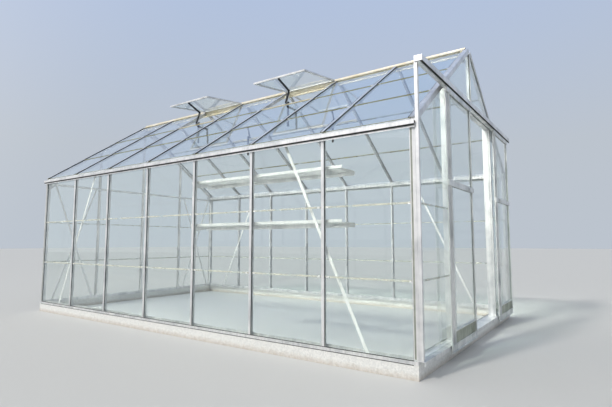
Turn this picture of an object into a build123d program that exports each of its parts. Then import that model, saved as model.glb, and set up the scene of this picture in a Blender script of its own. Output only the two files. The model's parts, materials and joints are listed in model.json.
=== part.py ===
"""Aluminium and glass greenhouse, eight feet wide and fourteen feet long.

Frame: millimetres, +Z up, ground at z = 0. The front gable with the sliding doors faces
-Y, the long walls face -X and +X. Pieces are drawn round the middle of the glass walls
and saved with the origin at the middle of the overall length, doors included.

Glass hangs in front of a seat plane on every wall and slope. Sections are drawn with
their height measured outward from that seat: 0 is the seat, positive is the weather side.
"""

import os
from math import atan2, cos, degrees, hypot, radians, sin, tan

from build123d import *

# Overall layout
bay = 620.0                 # spacing of the glazing bars
side_bays = 7
gable_bays = 4
plinth_height = 85.0        # steel base under the sills
eave_height = 1385.0        # seat of the roof glass over the wall glass, above the plinth
roof_pitch = 35.0

# Glass
glass = 4.0
glass_gap = 0.5             # clearance at the edges of a pane
pane_lap = 12.0             # each pane hangs over the head of the one below
courses = 3
slot = 9.5                  # depth of the groove that holds two lapped panes
slot_reach = 12.0           # how far a groove runs into a post
lap_step = glass + 0.6      # the foot of a pane stands this far out of its head

# Glazing bars
bar_web = 3.0
bar_cap_width = 22.0
bar_cap = 3.0
bar_flange_width = 26.0
bar_flange = 2.5
bar_stem_depth = 20.0
bar_toe_width = 12.0
bar_toe = 2.5
bar_out = slot + bar_cap
bar_in = bar_stem_depth + bar_toe

# Corner posts and gable rafters share one extrusion
post_in = 25.0
post_out = 13.0
post_wall = 2.8
post_round = 7.0
post_channel = 11.0         # wide channel beside the glass, with a narrow groove next to it
post_channel_middle = -14.5
groove_width = 3.0
groove_depth = 1.8

# Sills
sill_in = 28.0
sill_out = 17.0
sill_floor = 4.0
sill_inner_wall = 2.5
sill_inner_height = 32.0
sill_lip = 3.0
sill_lip_height = 19.0
front_sill_in = 50.0
front_sill_out = 40.0       # the front sill is a wide step under the doors
front_sill_top = 24.0
front_sill_drop = 1.0
front_sill_wall = 3.0
front_leg_in = 20.0

# Plinth
plinth_wall = 3.0
plinth_out = 14.0
front_plinth_out = 3.0      # set back under the front sill
plinth_foot = 28.0

# Gutter, measured from the eave line
gutter_seat = 21.0          # distance up the slope where bars butt on the gutter
gutter_back = 24.0
gutter_nose = 7.0
gutter_relief = 1.0         # the gutter stays this far under the glass seat
gutter_trough = 5.0
gutter_reach = 38.0
gutter_wall = 3.0
gutter_front_top = 20.0
gutter_bottom = 42.0
gutter_drip = 18.0
drip_near = 24.0
drip_far = 26.0
glass_over_gutter = 10.0
bar_over_gutter = 5.0

# Ridge, measured down the slope from the apex line
ridge_side = 34.0
ridge_lip_reach = 12.0
ridge_back = 21.0
ridge_wall = 2.5
ridge_rib_width = 18.0
ridge_rib_height = 9.0
ridge_keel_width = 16.0
ridge_keel_depth = 52.0
ridge_inset = 21.0          # the ridge ends this far behind the gables' seats

# Doorway in the front gable
jamb_centre = 605.0
jamb_width = 34.0
jamb_in = 46.0
jamb_out = 17.0
jamb_wall = 2.5
jamb_slot_reach = 8.0
head_below_track = 10.0
head_height = 36.0

# Door track and the posts that carry its ends
track_top = 1741.0          # above the plinth
track_height = 34.0
track_back = 17.0
track_front = 65.0
track_wall = 2.5
track_overhang = 22.0
track_cap = 3.0
track_post_width = 20.0
track_post_depth = 19.0
hanger_slot = 9.0

# Doors
door_width = 595.0
door_centre = 52.0          # plane of the hangers, out from the gable seat
door_back = 45.5            # back face of the door, out from the gable seat
door_plate = 7.0            # the flat part of the stiles
door_bead = 10.0            # the rails and the beads beside the glass stand this proud of it
door_bead_width = 8.0
door_drop = 20.0            # the door's foot hangs below the plinth's top edge
door_head_gap = 17.0
meeting_gap = 8.0           # between the two doors when both are closed
door_stile = 50.0           # bead included
door_top_rail = 32.0
door_mid_rail = 37.0
door_mid_height = 1055.0    # middle of the middle rail, above the plinth
door_bottom_rail = 52.0
bottom_rail_lip = 8.0
bottom_lip_rise = 5.0
kick_height = 76.0
kick_rail = 8.0
kick_panel = 3.0
door_groove = 5.0
door_groove_depth = 5.0
door_left_open = 203.0      # how far each door stands from its closed place
door_right_open = 560.0
handle_inset = 130.0
handle_width = 28.0
handle_height = 30.0
handle_reach = 14.0
handle_foot = 5.0

# Door hangers
roller_radius = 11.0
roller_width = 4.0
roller_clearance = 0.3
hanger_inset = 70.0
hanger_width = 40.0
hanger_plate = 3.0
roller_axle = 3.0

# Flat braces and the tie at the rear
brace_width = 20.0
brace_thickness = 3.0
brace_head_bays = 1.53
brace_foot_bays = 0.52
tie_height = 26.0
tie_below_eave = 44.0
cross_inset = 60.0

# Roof vents
vent_bays = (3, 5)          # counted from the front
vent_open_angle = 7.0       # how far an open vent still droops below level
vent_length = 520.0
vent_side_gap = 10.0
vent_rail = 20.0
vent_thickness = 14.0
vent_groove = 5.0
vent_groove_depth = 6.0
vent_glass_level = 3.0
hinge_radius = 2.5
hinge_leaf = 4.0
hinge_gap = 0.1
vent_cill_width = 20.0
opener_arm = 14.0
opener_arm_thickness = 6.0
opener_tube_radius = 11.0
opener_tube_length = 230.0
opener_elbow_out = 120.0
opener_elbow_down = 95.0
opener_foot = 26.0
opener_gap = 0.3

# Shelves inside the left wall
shelf_first_bays = 0.8
shelf_last_bays = 3.1
shelf_depth = 170.0
shelf_plate = 2.0
shelf_front_lip = 30.0
shelf_back_lip = 18.0
shelf_heights = {"upper": 1148.0, "lower": 800.0}
shelf_wall_gap = 4.0
shelf_slot_width = 10.0
shelf_slot_length = 120.0
shelf_slot_rows = 5
shelf_slot_pitch = 28.0
shelf_slots = 9
shelf_slot_step = 150.0
bracket_thickness = 3.0
bracket_root = 38.0
bracket_tip = 10.0
bracket_bars = (1, 2, 3)

# Sizes that follow
half_w = gable_bays * bay / 2
half_l = side_bays * bay / 2
eave_z = plinth_height + eave_height
pitch = radians(roof_pitch)
slope_length = half_w / cos(pitch)
apex_z = eave_z + half_w * tan(pitch)
floor_z = plinth_height + sill_floor
front_floor_z = plinth_height + front_sill_top
gutter_z = eave_z - gutter_bottom
track_z = plinth_height + track_top
head_z = track_z - head_below_track - head_height
ridge_s = slope_length - ridge_side
wall_glass_foot = floor_z + glass_gap
wall_glass_head = gutter_z - glass_gap
wall_pane = (wall_glass_head - wall_glass_foot + (courses - 1) * pane_lap) / courses
roof_glass_head = ridge_s - glass_gap
roof_pane = (roof_glass_head + glass_over_gutter + (courses - 1) * pane_lap) / courses
bar_edge = bar_web / 2 + glass_gap          # edge of a pane beside a glazing bar
pane_width = bay - 2 * bar_edge
post_edge = half_w - post_in + slot_reach - glass_gap
post_edge_y = half_l - post_in + slot_reach - glass_gap
brace_line = sill_in - sill_inner_wall
side_bar_places = [-half_l + number * bay for number in range(1, side_bays)]
sides = {"left": -1, "right": 1}
door_front = door_back + door_plate + door_bead
front_reach = door_front + handle_reach
frame_shift = (front_reach - sill_out) / 2  # from the middle of the walls to the overall middle

os.makedirs("parts", exist_ok=True)


def save(piece, name):
    """Label a finished piece, move it to the origin's place and write it as its own file."""
    placed = piece.part.moved(Location((0, frame_shift, 0)))
    placed.label = name
    export_step(placed, f"parts/{name}.step")


def band(x_from, x_to, y_from, y_to, mode=Mode.ADD):
    """One rectangle of a section, from its four limits."""
    with Locations(((x_from + x_to) / 2, (y_from + y_to) / 2)):
        Rectangle(abs(x_to - x_from), abs(y_to - y_from), mode=mode)


def outline(*points, mode=Mode.ADD):
    """A closed polygon in the sketch that is being drawn."""
    Polygon(*points, align=None, mode=mode)


def section_plane(origin, along, outward):
    """Plane of a section: its y runs outward, and it is extruded along."""
    return Plane(origin=origin, x_dir=outward.cross(along), z_dir=along)


def up_slope(side):
    return Vector(-side * cos(pitch), 0, sin(pitch))


def roof_normal(side):
    return Vector(side * sin(pitch), 0, cos(pitch))


def roof_xz(side, up, out=0.0):
    """Point of the roof section: up the slope from the eave, out from the glass seat."""
    x = side * (half_w - up * cos(pitch) + out * sin(pitch))
    return (x, eave_z + up * sin(pitch) + out * cos(pitch))


def roof_point(side, y, up, out=0.0):
    x, z = roof_xz(side, up, out)
    return Vector(x, y, z)


def rafter_underside(x, below):
    """Height at x of a line that lies the given distance under the roof's seat plane."""
    return eave_z + (half_w - abs(x)) * tan(pitch) - below / cos(pitch)


def glazing_bar_section(part_in=True, part_web=True, part_cap=True):
    """Glazing bar: flange, stem and toe inside, web between the panes, cap outside."""
    if part_in:
        band(-bar_flange_width / 2, bar_flange_width / 2, -bar_flange, 0)
        band(-bar_web / 2, bar_web / 2, -bar_stem_depth, 0)
        band(-bar_toe_width / 2, bar_toe_width / 2, -bar_in, -bar_stem_depth)
    if part_web:
        band(-bar_web / 2, bar_web / 2, 0, slot)
    if part_cap:
        band(-bar_cap_width / 2, bar_cap_width / 2, slot, bar_out)


def corner_section():
    """Square hollow extrusion with a glass groove in each inner face."""
    with Locations(((post_out - post_in) / 2, (post_out - post_in) / 2)):
        outer = Rectangle(post_in + post_out, post_in + post_out)
    fillet(outer.vertices().sort_by(lambda corner: corner.X + corner.Y)[-1], post_round)
    band(post_wall - post_in, -post_wall, post_wall - post_in, -post_wall, mode=Mode.SUBTRACT)
    band(0, slot, -post_in, slot_reach - post_in, mode=Mode.SUBTRACT)
    band(-post_in, slot_reach - post_in, 0, slot, mode=Mode.SUBTRACT)
    for middle, width in ((post_channel_middle, post_channel), (0, groove_width)):
        band(middle - width / 2, middle + width / 2, post_out - groove_depth, post_out, mode=Mode.SUBTRACT)
        band(post_out - groove_depth, post_out, middle - width / 2, middle + width / 2, mode=Mode.SUBTRACT)


# Plinth: folded steel channels
with BuildPart() as plinth_sides:
    for side in sides.values():
        with BuildSketch(Plane.XZ.offset(half_l + front_plinth_out - plinth_wall)):
            seat = side * half_w
            band(seat + side * (plinth_out - plinth_wall), seat + side * plinth_out, 0, plinth_height)
            band(seat - side * sill_in, seat + side * plinth_out,
                 plinth_height - plinth_wall, plinth_height)
            band(seat - side * (plinth_foot - plinth_out), seat + side * plinth_out, 0, plinth_wall)
        extrude(amount=2 * plinth_wall - 2 * half_l - front_plinth_out - plinth_out)
save(plinth_sides, "plinth_sides")

with BuildPart() as plinth_ends:
    for end, flange_in, face_out in ((-1, front_sill_in, front_plinth_out), (1, sill_in, plinth_out)):
        seat = end * half_l
        with BuildSketch(Plane.YZ):
            band(seat + end * (face_out - plinth_wall), seat + end * face_out, 0, plinth_height)
        extrude(amount=half_w + plinth_out, both=True)
        with BuildSketch(Plane.YZ):
            band(seat - end * flange_in, seat + end * face_out,
                 plinth_height - plinth_wall, plinth_height)
        extrude(amount=half_w - sill_in, both=True)
        with BuildSketch(Plane.YZ):
            band(seat - end * (plinth_foot - face_out), seat + end * face_out, 0, plinth_wall)
        extrude(amount=half_w - plinth_foot + plinth_out, both=True)
save(plinth_ends, "plinth_ends")


# Sills: the rails that the bars and the glass stand on
def sill_section(seat, outward, inner_wall=True):
    """Floor, tall inner wall and outer lip, for a wall whose seat plane is given."""
    base = plinth_height
    band(seat - outward * sill_in, seat + outward * sill_out, base, base + sill_floor)
    if inner_wall:
        band(seat - outward * sill_in, seat - outward * (sill_in - sill_inner_wall),
             base, base + sill_inner_height)
    band(seat + outward * (sill_out - sill_lip), seat + outward * sill_out,
         base, base + sill_lip_height)


with BuildPart() as sill_sides:
    for side in sides.values():
        with BuildSketch(Plane.XZ.offset(half_l)):
            sill_section(side * half_w, side)
        extrude(amount=sill_in - 2 * half_l)
        with BuildSketch(Plane.XZ.offset(sill_in - half_l)):
            sill_section(side * half_w, side, inner_wall=False)
        extrude(amount=-sill_in - sill_out)
save(sill_sides, "sill_sides")

with BuildPart() as sill_rear:
    with BuildSketch(Plane.YZ):
        sill_section(half_l, 1)
    extrude(amount=half_w - sill_in, both=True)
save(sill_rear, "sill_rear")

with BuildPart() as sill_front:
    top = plinth_height + front_sill_top
    under = top - front_sill_wall
    low = plinth_height - front_sill_drop
    with BuildSketch(Plane.YZ):
        seat = -half_l
        band(seat, seat - front_sill_out, under, top)
        band(seat - front_sill_out + front_sill_wall, seat - front_sill_out, low, top)
        band(seat, seat - front_sill_wall, plinth_height, top)
    extrude(amount=half_w + sill_out, both=True)
    with BuildSketch(Plane.YZ):
        band(seat, seat + front_sill_in, under, top)
        band(seat + front_sill_in - sill_inner_wall, seat + front_sill_in,
             plinth_height, plinth_height + sill_inner_height)
        band(seat + front_leg_in, seat + front_leg_in + front_sill_wall, plinth_height, top)
    extrude(amount=half_w - sill_in, both=True)
save(sill_front, "sill_front")


# Corner posts stand on the sills and carry the gutters
with BuildPart() as corner_posts:
    for side in sides.values():
        for end, foot in ((-1, front_floor_z), (1, floor_z)):
            corner = Plane(origin=(side * half_w, end * half_l, foot),
                           x_dir=(side, 0, 0), z_dir=(0, 0, side * end))
            with BuildSketch(corner):
                corner_section()
            extrude(amount=side * end * (gutter_z - foot))
save(corner_posts, "corner_posts")

# Long walls
for name, side in sides.items():
    wall_out = Vector(side, 0, 0)

    with BuildPart() as wall_bars:
        for y in side_bar_places:
            with BuildSketch(section_plane((side * half_w, y, floor_z), Vector(0, 0, 1), wall_out)):
                glazing_bar_section()
            extrude(amount=gutter_z - floor_z)
    save(wall_bars, f"wall_bars_{name}")

    with BuildPart() as gutter:
        with BuildSketch(Plane.XZ):
            inner_x, _ = roof_xz(side, gutter_seat, -gutter_back)
            trough_x = side * (half_w + gutter_trough)
            front_x = side * (half_w + gutter_reach)
            outline(roof_xz(side, gutter_seat, -gutter_back),
                    roof_xz(side, gutter_seat, -gutter_relief),
                    roof_xz(side, -gutter_nose, -gutter_relief),
                    (trough_x, gutter_z), (inner_x, gutter_z))
            offset(amount=-gutter_wall, kind=Kind.INTERSECTION, mode=Mode.SUBTRACT)
            band(trough_x, front_x, gutter_z, gutter_z + gutter_wall)
            band(front_x - side * gutter_wall, front_x, gutter_z, eave_z - gutter_front_top)
            band(side * (half_w + drip_near), side * (half_w + drip_far),
                 gutter_z - gutter_drip, gutter_z)
        extrude(amount=half_l + post_out, both=True)
    save(gutter, f"gutter_{name}")

    with BuildPart() as roof_bars:
        for y in side_bar_places:
            seat_point = roof_point(side, y, gutter_seat)
            with BuildSketch(section_plane(seat_point, up_slope(side), roof_normal(side))):
                glazing_bar_section(part_web=False, part_cap=False)
            extrude(amount=ridge_s - gutter_seat)
            foot_point = roof_point(side, y, -bar_over_gutter)
            with BuildSketch(section_plane(foot_point, up_slope(side), roof_normal(side))):
                glazing_bar_section(part_in=False, part_cap=False)
            extrude(amount=ridge_s + bar_over_gutter)
            with BuildSketch(section_plane(foot_point, up_slope(side), roof_normal(side))):
                glazing_bar_section(part_in=False, part_web=False)
            extrude(amount=ridge_s - ridge_lip_reach + bar_over_gutter)
    save(roof_bars, f"roof_bars_{name}")

# Ridge beam: hollow, open at both ends, with lips over the heads of the panes
with BuildPart() as ridge_beam:
    with BuildSketch(Plane.XZ):
        outline(roof_xz(-1, ridge_s, -ridge_back), roof_xz(-1, ridge_s, bar_out),
                (0, apex_z + bar_out / cos(pitch)),
                roof_xz(1, ridge_s, bar_out), roof_xz(1, ridge_s, -ridge_back))
        offset(amount=-ridge_wall, kind=Kind.INTERSECTION, mode=Mode.SUBTRACT)
        for side in sides.values():
            outline(roof_xz(side, ridge_s - ridge_lip_reach, slot), roof_xz(side, ridge_s, slot),
                    roof_xz(side, ridge_s, bar_out), roof_xz(side, ridge_s - ridge_lip_reach, bar_out))
        crest_z = apex_z + bar_out / cos(pitch)
        band(-ridge_rib_width / 2, ridge_rib_width / 2, crest_z - ridge_rib_height, crest_z + 2)
        _, keel_z = roof_xz(1, ridge_s, -ridge_back)
        band(-ridge_keel_width / 2, ridge_keel_width / 2, apex_z - ridge_keel_depth, keel_z)
    extrude(amount=half_l - ridge_inset, both=True)
save(ridge_beam, "ridge_beam")

# Gable rafters: the corner extrusion laid up the slope
for name, end in (("front", -1), ("rear", 1)):
    with BuildPart() as rafters:
        for side in sides.values():
            gable_out = Vector(0, end, 0)
            normal = roof_normal(side)
            along = normal.cross(gable_out)
            seat_y = end * half_l
            with BuildSketch(Plane(origin=roof_point(side, seat_y, gutter_seat),
                                   x_dir=normal, z_dir=along)):
                corner_section()
            extrude(amount=side * end * (ridge_s - gutter_seat))
            with BuildSketch(Plane(origin=roof_point(side, seat_y, -bar_over_gutter),
                                   x_dir=normal, z_dir=along)):
                corner_section()
                band(0, post_out, -post_in, post_out, mode=Mode.INTERSECT)
            extrude(amount=side * end * (gutter_seat + bar_over_gutter))
        with BuildSketch(Plane.XZ.offset(-end * (half_l - ridge_inset))):
            for side in sides.values():
                outline(roof_xz(side, ridge_s - ridge_lip_reach, slot), roof_xz(side, slope_length, slot),
                        roof_xz(side, slope_length, post_out + 1),
                        roof_xz(side, ridge_s - ridge_lip_reach, post_out + 1))
        extrude(amount=end * post_in, mode=Mode.SUBTRACT)
    save(rafters, f"gable_rafters_{name}")

# Doorway
with BuildPart() as door_jambs:
    for side in sides.values():
        middle = side * jamb_centre
        with BuildSketch(section_plane((middle, -half_l, front_floor_z), Vector(0, 0, 1), Vector(0, -1, 0))):
            band(-jamb_width / 2, jamb_width / 2, -jamb_in, jamb_out)
            band(jamb_wall - jamb_width / 2, jamb_width / 2 - jamb_wall,
                 jamb_wall - jamb_in, -jamb_wall, mode=Mode.SUBTRACT)
            for cheek in (-1, 1):
                band(cheek * (jamb_width / 2 - jamb_slot_reach), cheek * jamb_width / 2, 0, slot,
                     mode=Mode.SUBTRACT)
        extrude(amount=apex_z - front_floor_z)
    for side in sides.values():
        with BuildSketch(Plane.XZ.offset(half_l)):
            outline(roof_xz(side, 0, -post_in), roof_xz(side, slope_length, -post_in),
                    (0, apex_z + jamb_in), (side * half_w, apex_z + jamb_in))
        extrude(amount=2 * jamb_in, both=True, mode=Mode.SUBTRACT)
save(door_jambs, "door_jambs")


def cut_to_roof(end):
    """Clear all that stands above the rafters' underside or the ridge's keel."""
    with BuildSketch(Plane.XZ.offset(-end * half_l)) as above_roof:
        for side in sides.values():
            outline(roof_xz(side, 0, -post_in), roof_xz(side, slope_length, -post_in),
                    (0, apex_z + jamb_in), (side * half_w, apex_z + jamb_in))
        band(-ridge_keel_width, ridge_keel_width, apex_z - ridge_keel_depth, apex_z + jamb_in)
    extrude(above_roof.sketch, amount=2 * jamb_in, both=True, mode=Mode.SUBTRACT)


with BuildPart() as door_head:
    with BuildSketch(Plane.YZ):
        band(-half_l - post_out, -half_l + post_in, head_z, head_z + head_height)
        offset(amount=-jamb_wall, kind=Kind.INTERSECTION, mode=Mode.SUBTRACT)
    extrude(amount=jamb_centre - jamb_width / 2, both=True)
    cut_to_roof(-1)
save(door_head, "door_head")


def gable_bar(x, end, foot):
    """Upright glazing bar of a gable, cut to the underside of the rafters and the ridge."""
    with BuildSketch(section_plane((x, end * half_l, foot), Vector(0, 0, 1),
                                   Vector(0, end, 0))) as section:
        glazing_bar_section()
    extrude(section.sketch, amount=apex_z - foot)


with BuildPart() as gable_bar_front:
    gable_bar(0, -1, head_z + head_height)
    cut_to_roof(-1)
save(gable_bar_front, "gable_bar_front")

with BuildPart() as gable_bars_rear:
    for number in range(1, gable_bays):
        gable_bar(number * bay - half_w, 1, floor_z)
    cut_to_roof(1)
save(gable_bars_rear, "gable_bars_rear")


# Braces: flat strips behind the toes of the bars
def strip(start, finish, width):
    """Slanted strip with level ends, drawn in a plane whose y is upward."""
    rise = finish[1] - start[1]
    half = width / 2 * hypot(finish[0] - start[0], rise) / rise
    outline((start[0] - half, start[1]), (start[0] + half, start[1]),
            (finish[0] + half, finish[1]), (finish[0] - half, finish[1]))


brace_foot_z = plinth_height + sill_floor
brace_head_z = gutter_z
for name, side in sides.items():
    with BuildPart() as wall_braces:
        with BuildSketch(Plane.YZ.offset(side * (half_w - brace_line))):
            for end in (-1, 1):
                foot_y = end * (half_l - brace_foot_bays * bay)
                head_y = end * (half_l - brace_head_bays * bay)
                strip((foot_y, brace_foot_z), (head_y, brace_head_z), brace_width)
        extrude(amount=side * brace_thickness)
    save(wall_braces, f"wall_braces_{name}")

tie_top = eave_z - tie_below_eave
with BuildPart() as rear_tie_rail:
    with BuildSketch(Plane.XZ.offset(-half_l + brace_line)):
        band(post_in - half_w, half_w - post_in, tie_top - tie_height, tie_top)
    extrude(amount=-brace_thickness)
save(rear_tie_rail, "rear_tie_rail")

with BuildPart() as rear_braces:
    with BuildSketch(Plane.XZ.offset(-half_l + brace_line)):
        for side in sides.values():
            outer = side * (half_w - post_in - cross_inset)
            inner = side * (half_w - bay + cross_inset)
            cross_top = tie_top - tie_height
            strip((outer, brace_foot_z), (inner, cross_top), brace_width)
            strip((inner, brace_foot_z), (outer, cross_top), brace_width)
    extrude(amount=-brace_thickness)
save(rear_braces, "rear_braces")


# Glass: panes lapped like shingles, each tilted so that its foot clears the head below
def pane_plane(seat_point, upward, outward, length):
    """Plane of a tilted pane, with its origin at the pane's foot."""
    tilt = atan2(lap_step, length)
    lean = upward * cos(tilt) - outward * sin(tilt)
    across = upward.cross(outward)
    return Plane(origin=seat_point + outward * (lap_step + glass_gap / 2), x_dir=across,
                 z_dir=across.cross(lean))


def side_pane(number):
    """Middle and width of the panes of one bay of a long side, counted from the front."""
    front_edge = -half_l + (number - 1) * bay + bar_edge
    rear_edge = -half_l + number * bay - bar_edge
    if number == 1:
        front_edge = -post_edge_y
    if number == side_bays:
        rear_edge = post_edge_y
    return (front_edge + rear_edge) / 2, rear_edge - front_edge


for name, side in sides.items():
    wall_out = Vector(side, 0, 0)

    with BuildPart() as wall_glass:
        for number in range(1, side_bays + 1):
            y, width = side_pane(number)
            for course in range(courses):
                foot = wall_glass_foot + course * (wall_pane - pane_lap)
                with BuildSketch(pane_plane(Vector(side * half_w, y, foot), Vector(0, 0, 1),
                                            wall_out, wall_pane)):
                    band(-width / 2, width / 2, 0, wall_pane)
                extrude(amount=glass)
    save(wall_glass, f"wall_glass_{name}")

    with BuildPart() as roof_glass:
        for number in range(1, side_bays + 1):
            y, width = side_pane(number)
            rows = courses - 1 if number in vent_bays else courses
            for course in range(rows):
                foot = course * (roof_pane - pane_lap) - glass_over_gutter
                with BuildSketch(pane_plane(roof_point(side, y, foot), up_slope(side),
                                            roof_normal(side), roof_pane)):
                    band(-width / 2, width / 2, 0, roof_pane)
                extrude(amount=glass)
    save(roof_glass, f"roof_glass_{name}")

slope_cover = post_in - slot_reach + glass_gap     # the gable panes end this far under the roof
pane_toe = 2.0              # a pane cut to the slope keeps at least this much upright edge


def gable_pane(end, x_from, x_to, foot, head=None):
    """One gable pane between two uprights: square-headed, or cut to the slope above."""
    length = (head or rafter_underside(0, 0)) - foot
    middle = (x_from + x_to) / 2
    plane = pane_plane(Vector(middle, end * half_l, foot), Vector(0, 0, 1), Vector(0, end, 0), length)
    flip = plane.x_dir.X
    with BuildSketch(plane) as shape:
        if head:
            band(x_from - middle, x_to - middle, 0, length)
        else:
            rafter_reach = half_w - (foot + pane_toe - rafter_underside(half_w, slope_cover)) / tan(pitch)
            near_eave = min(max(abs(x_from), abs(x_to)), rafter_reach)
            gutter_x = half_w - (gutter_seat * cos(pitch) + gutter_back * sin(pitch)) - glass_gap
            toward = 1 if abs(x_to) > abs(x_from) else -1
            inner = min(abs(x_from), abs(x_to)) * toward
            outer = near_eave * toward
            corners = [(inner, 0), (outer, 0)]
            if near_eave > gutter_x:
                corners += [(outer, gutter_z - glass_gap - foot),
                            (gutter_x * toward, gutter_z - glass_gap - foot)]
            last = min(near_eave, gutter_x)
            corners += [(last * toward, rafter_underside(last, slope_cover) - foot),
                        (inner, min(rafter_underside(inner, slope_cover), apex_top) - foot)]
            sign = 1 if x_from + x_to >= 0 else -1
            outline(*[(flip * (abs(x) * sign - middle), y) for x, y in corners])
    extrude(shape.sketch, amount=glass)


apex_top = apex_z - ridge_keel_depth - glass_gap
jamb_outer = jamb_centre + jamb_width / 2 - jamb_slot_reach + glass_gap
jamb_inner = jamb_centre - jamb_width / 2 + jamb_slot_reach - glass_gap
course_feet = [wall_glass_foot + course * (wall_pane - pane_lap) for course in range(courses)]

with BuildPart() as gable_glass_front:
    for side in sides.values():
        outer, inner = side * post_edge, side * jamb_outer
        gable_pane(-1, inner, outer, front_floor_z + glass_gap, course_feet[0] + wall_pane)
        for course in range(1, courses - 1):
            gable_pane(-1, inner, outer, course_feet[course], course_feet[course] + wall_pane)
        gable_pane(-1, inner, outer, course_feet[-1])
        gable_pane(-1, side * bar_edge, side * jamb_inner, head_z + head_height + glass_gap)
save(gable_glass_front, "gable_glass_front")

with BuildPart() as gable_glass_rear:
    for side in sides.values():
        for inner, outer in ((bar_edge, bay - bar_edge), (bay + bar_edge, post_edge)):
            for foot in course_feet[:-1]:
                gable_pane(1, side * inner, side * outer, foot, foot + wall_pane)
            gable_pane(1, side * inner, side * outer, course_feet[-1])
save(gable_glass_rear, "gable_glass_rear")

# Roof vents, hinged under the crest of the ridge and held open
vent_cill_s = 2 * (roof_pane - pane_lap) - glass_over_gutter + pane_lap + glass_gap
hinge_s = ridge_s - ridge_lip_reach / 2
hinge_out = bar_out + hinge_radius + hinge_gap
vent_width = bay - 2 * vent_side_gap
vent_middles = [-half_l + (number - 0.5) * bay for number in vent_bays]
droop = radians(vent_open_angle)


def vent_plane(side, y):
    """Plane of an open vent: x along the ridge, y from the hinge to the free edge."""
    reach = Vector(side * cos(droop), 0, -sin(droop))
    top = Vector(side * sin(droop), 0, cos(droop))
    return Plane(origin=roof_point(side, y, hinge_s, hinge_out), x_dir=reach.cross(top), z_dir=top)


for name, side in sides.items():
    with BuildPart() as vent_frames:
        for y in vent_middles:
            plane = vent_plane(side, y)
            low = -hinge_radius + 0.5
            with BuildSketch(plane.offset(low)):
                band(-vent_width / 2, vent_width / 2, hinge_leaf, vent_length)
                band(vent_rail - vent_width / 2, vent_width / 2 - vent_rail,
                     hinge_leaf + vent_rail, vent_length - vent_rail, mode=Mode.SUBTRACT)
            extrude(amount=vent_thickness)
            with BuildSketch(plane.offset(low)):
                band(-vent_width / 2, vent_width / 2, 0, hinge_leaf)
            extrude(amount=hinge_radius)
            with BuildSketch(Plane(origin=plane.origin, x_dir=plane.z_dir, z_dir=plane.x_dir)):
                Circle(hinge_radius)
            extrude(amount=vent_width / 2, both=True)
            with BuildSketch(plane.offset(vent_glass_level)):
                groove = vent_groove_depth
                band(vent_rail - groove - vent_width / 2, vent_width / 2 - vent_rail + groove,
                     hinge_leaf + vent_rail - groove, vent_length - vent_rail + groove)
            extrude(amount=vent_groove, mode=Mode.SUBTRACT)
    save(vent_frames, f"vent_frames_{name}")

with BuildPart() as vent_glass:
    for side in sides.values():
        for y in vent_middles:
            with BuildSketch(vent_plane(side, y).offset(vent_glass_level)):
                inset = vent_rail - vent_groove_depth + glass_gap
                band(inset - vent_width / 2, vent_width / 2 - inset,
                     hinge_leaf + inset, vent_length - inset)
            extrude(amount=glass)
save(vent_glass, "vent_glass")

with BuildPart() as vent_cills:
    for side in sides.values():
        for y in vent_middles:
            with BuildSketch(section_plane(roof_point(side, y, vent_cill_s), up_slope(side),
                                           roof_normal(side))):
                band(-pane_width / 2, pane_width / 2, 0, slot - glass_gap)
                band(bar_flange_width / 2 + glass_gap - pane_width / 2,
                     pane_width / 2 - bar_flange_width / 2 - glass_gap, -bar_flange, 0)
            extrude(amount=vent_cill_width)
save(vent_cills, "vent_cills")


def link(start, finish, width):
    """Flat link with round ends between two points of the sketch."""
    run, rise = finish[0] - start[0], finish[1] - start[1]
    with Locations(((start[0] + finish[0]) / 2, (start[1] + finish[1]) / 2)):
        SlotCenterToCenter(hypot(run, rise), width, rotation=degrees(atan2(rise, run)))


with BuildPart() as vent_openers:
    for side in sides.values():
        for y in vent_middles:
            hinge = roof_point(side, y, hinge_s, hinge_out)
            reach = vent_length - vent_rail / 2
            under = hinge_radius - 0.5
            free = (hinge.X + side * (reach * cos(droop) - under * sin(droop)),
                    hinge.Z - reach * sin(droop) - under * cos(droop))
            elbow = (hinge.X + side * opener_elbow_out, hinge.Z - opener_elbow_down)
            seat = roof_xz(side, vent_cill_s + vent_cill_width / 2, slot + opener_arm)
            tube_s = (vent_cill_s + vent_cill_width + opener_tube_radius / cos(pitch)
                      + (slot + bar_flange) * tan(pitch) + opener_gap)
            tube_head = roof_xz(side, tube_s, slot)
            with BuildSketch(Plane.XZ.offset(-y)):
                link((free[0], free[1] - opener_arm / 2 - opener_gap), elbow, opener_arm)
                link(elbow, seat, opener_arm)
            extrude(amount=opener_arm_thickness / 2, both=True)
            with BuildSketch(section_plane(roof_point(side, y, vent_cill_s, slot - glass_gap),
                                           up_slope(side), roof_normal(side))):
                band(-opener_foot / 2, opener_foot / 2, 0, opener_arm)
            extrude(amount=tube_s + opener_tube_radius - vent_cill_s)
            with BuildSketch(Plane(origin=(tube_head[0], y, tube_head[1]), z_dir=(0, 0, -1))):
                Circle(opener_tube_radius)
            extrude(amount=opener_tube_length)
save(vent_openers, "vent_openers")

# Door track: a box with a slot below for the hangers, on a post at each end
track_low = track_z - track_height
slot_from = door_centre - hanger_slot / 2
slot_to = door_centre + hanger_slot / 2
with BuildPart() as door_track:
    with BuildSketch(Plane.YZ):
        seat = -half_l
        band(seat - track_back, seat - track_front, track_low, track_z)
        band(seat - track_back - track_wall, seat - track_front + track_wall,
             track_low + track_wall, track_z - track_wall, mode=Mode.SUBTRACT)
        band(seat - slot_from, seat - slot_to, track_low, track_low + track_wall, mode=Mode.SUBTRACT)
    extrude(amount=half_w + track_overhang, both=True)
    for side in sides.values():
        with BuildSketch(Plane.YZ.offset(side * (half_w + track_overhang))):
            band(seat - track_back, seat - track_front, track_low, track_z)
        extrude(amount=side * track_cap)
save(door_track, "door_track")

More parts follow.
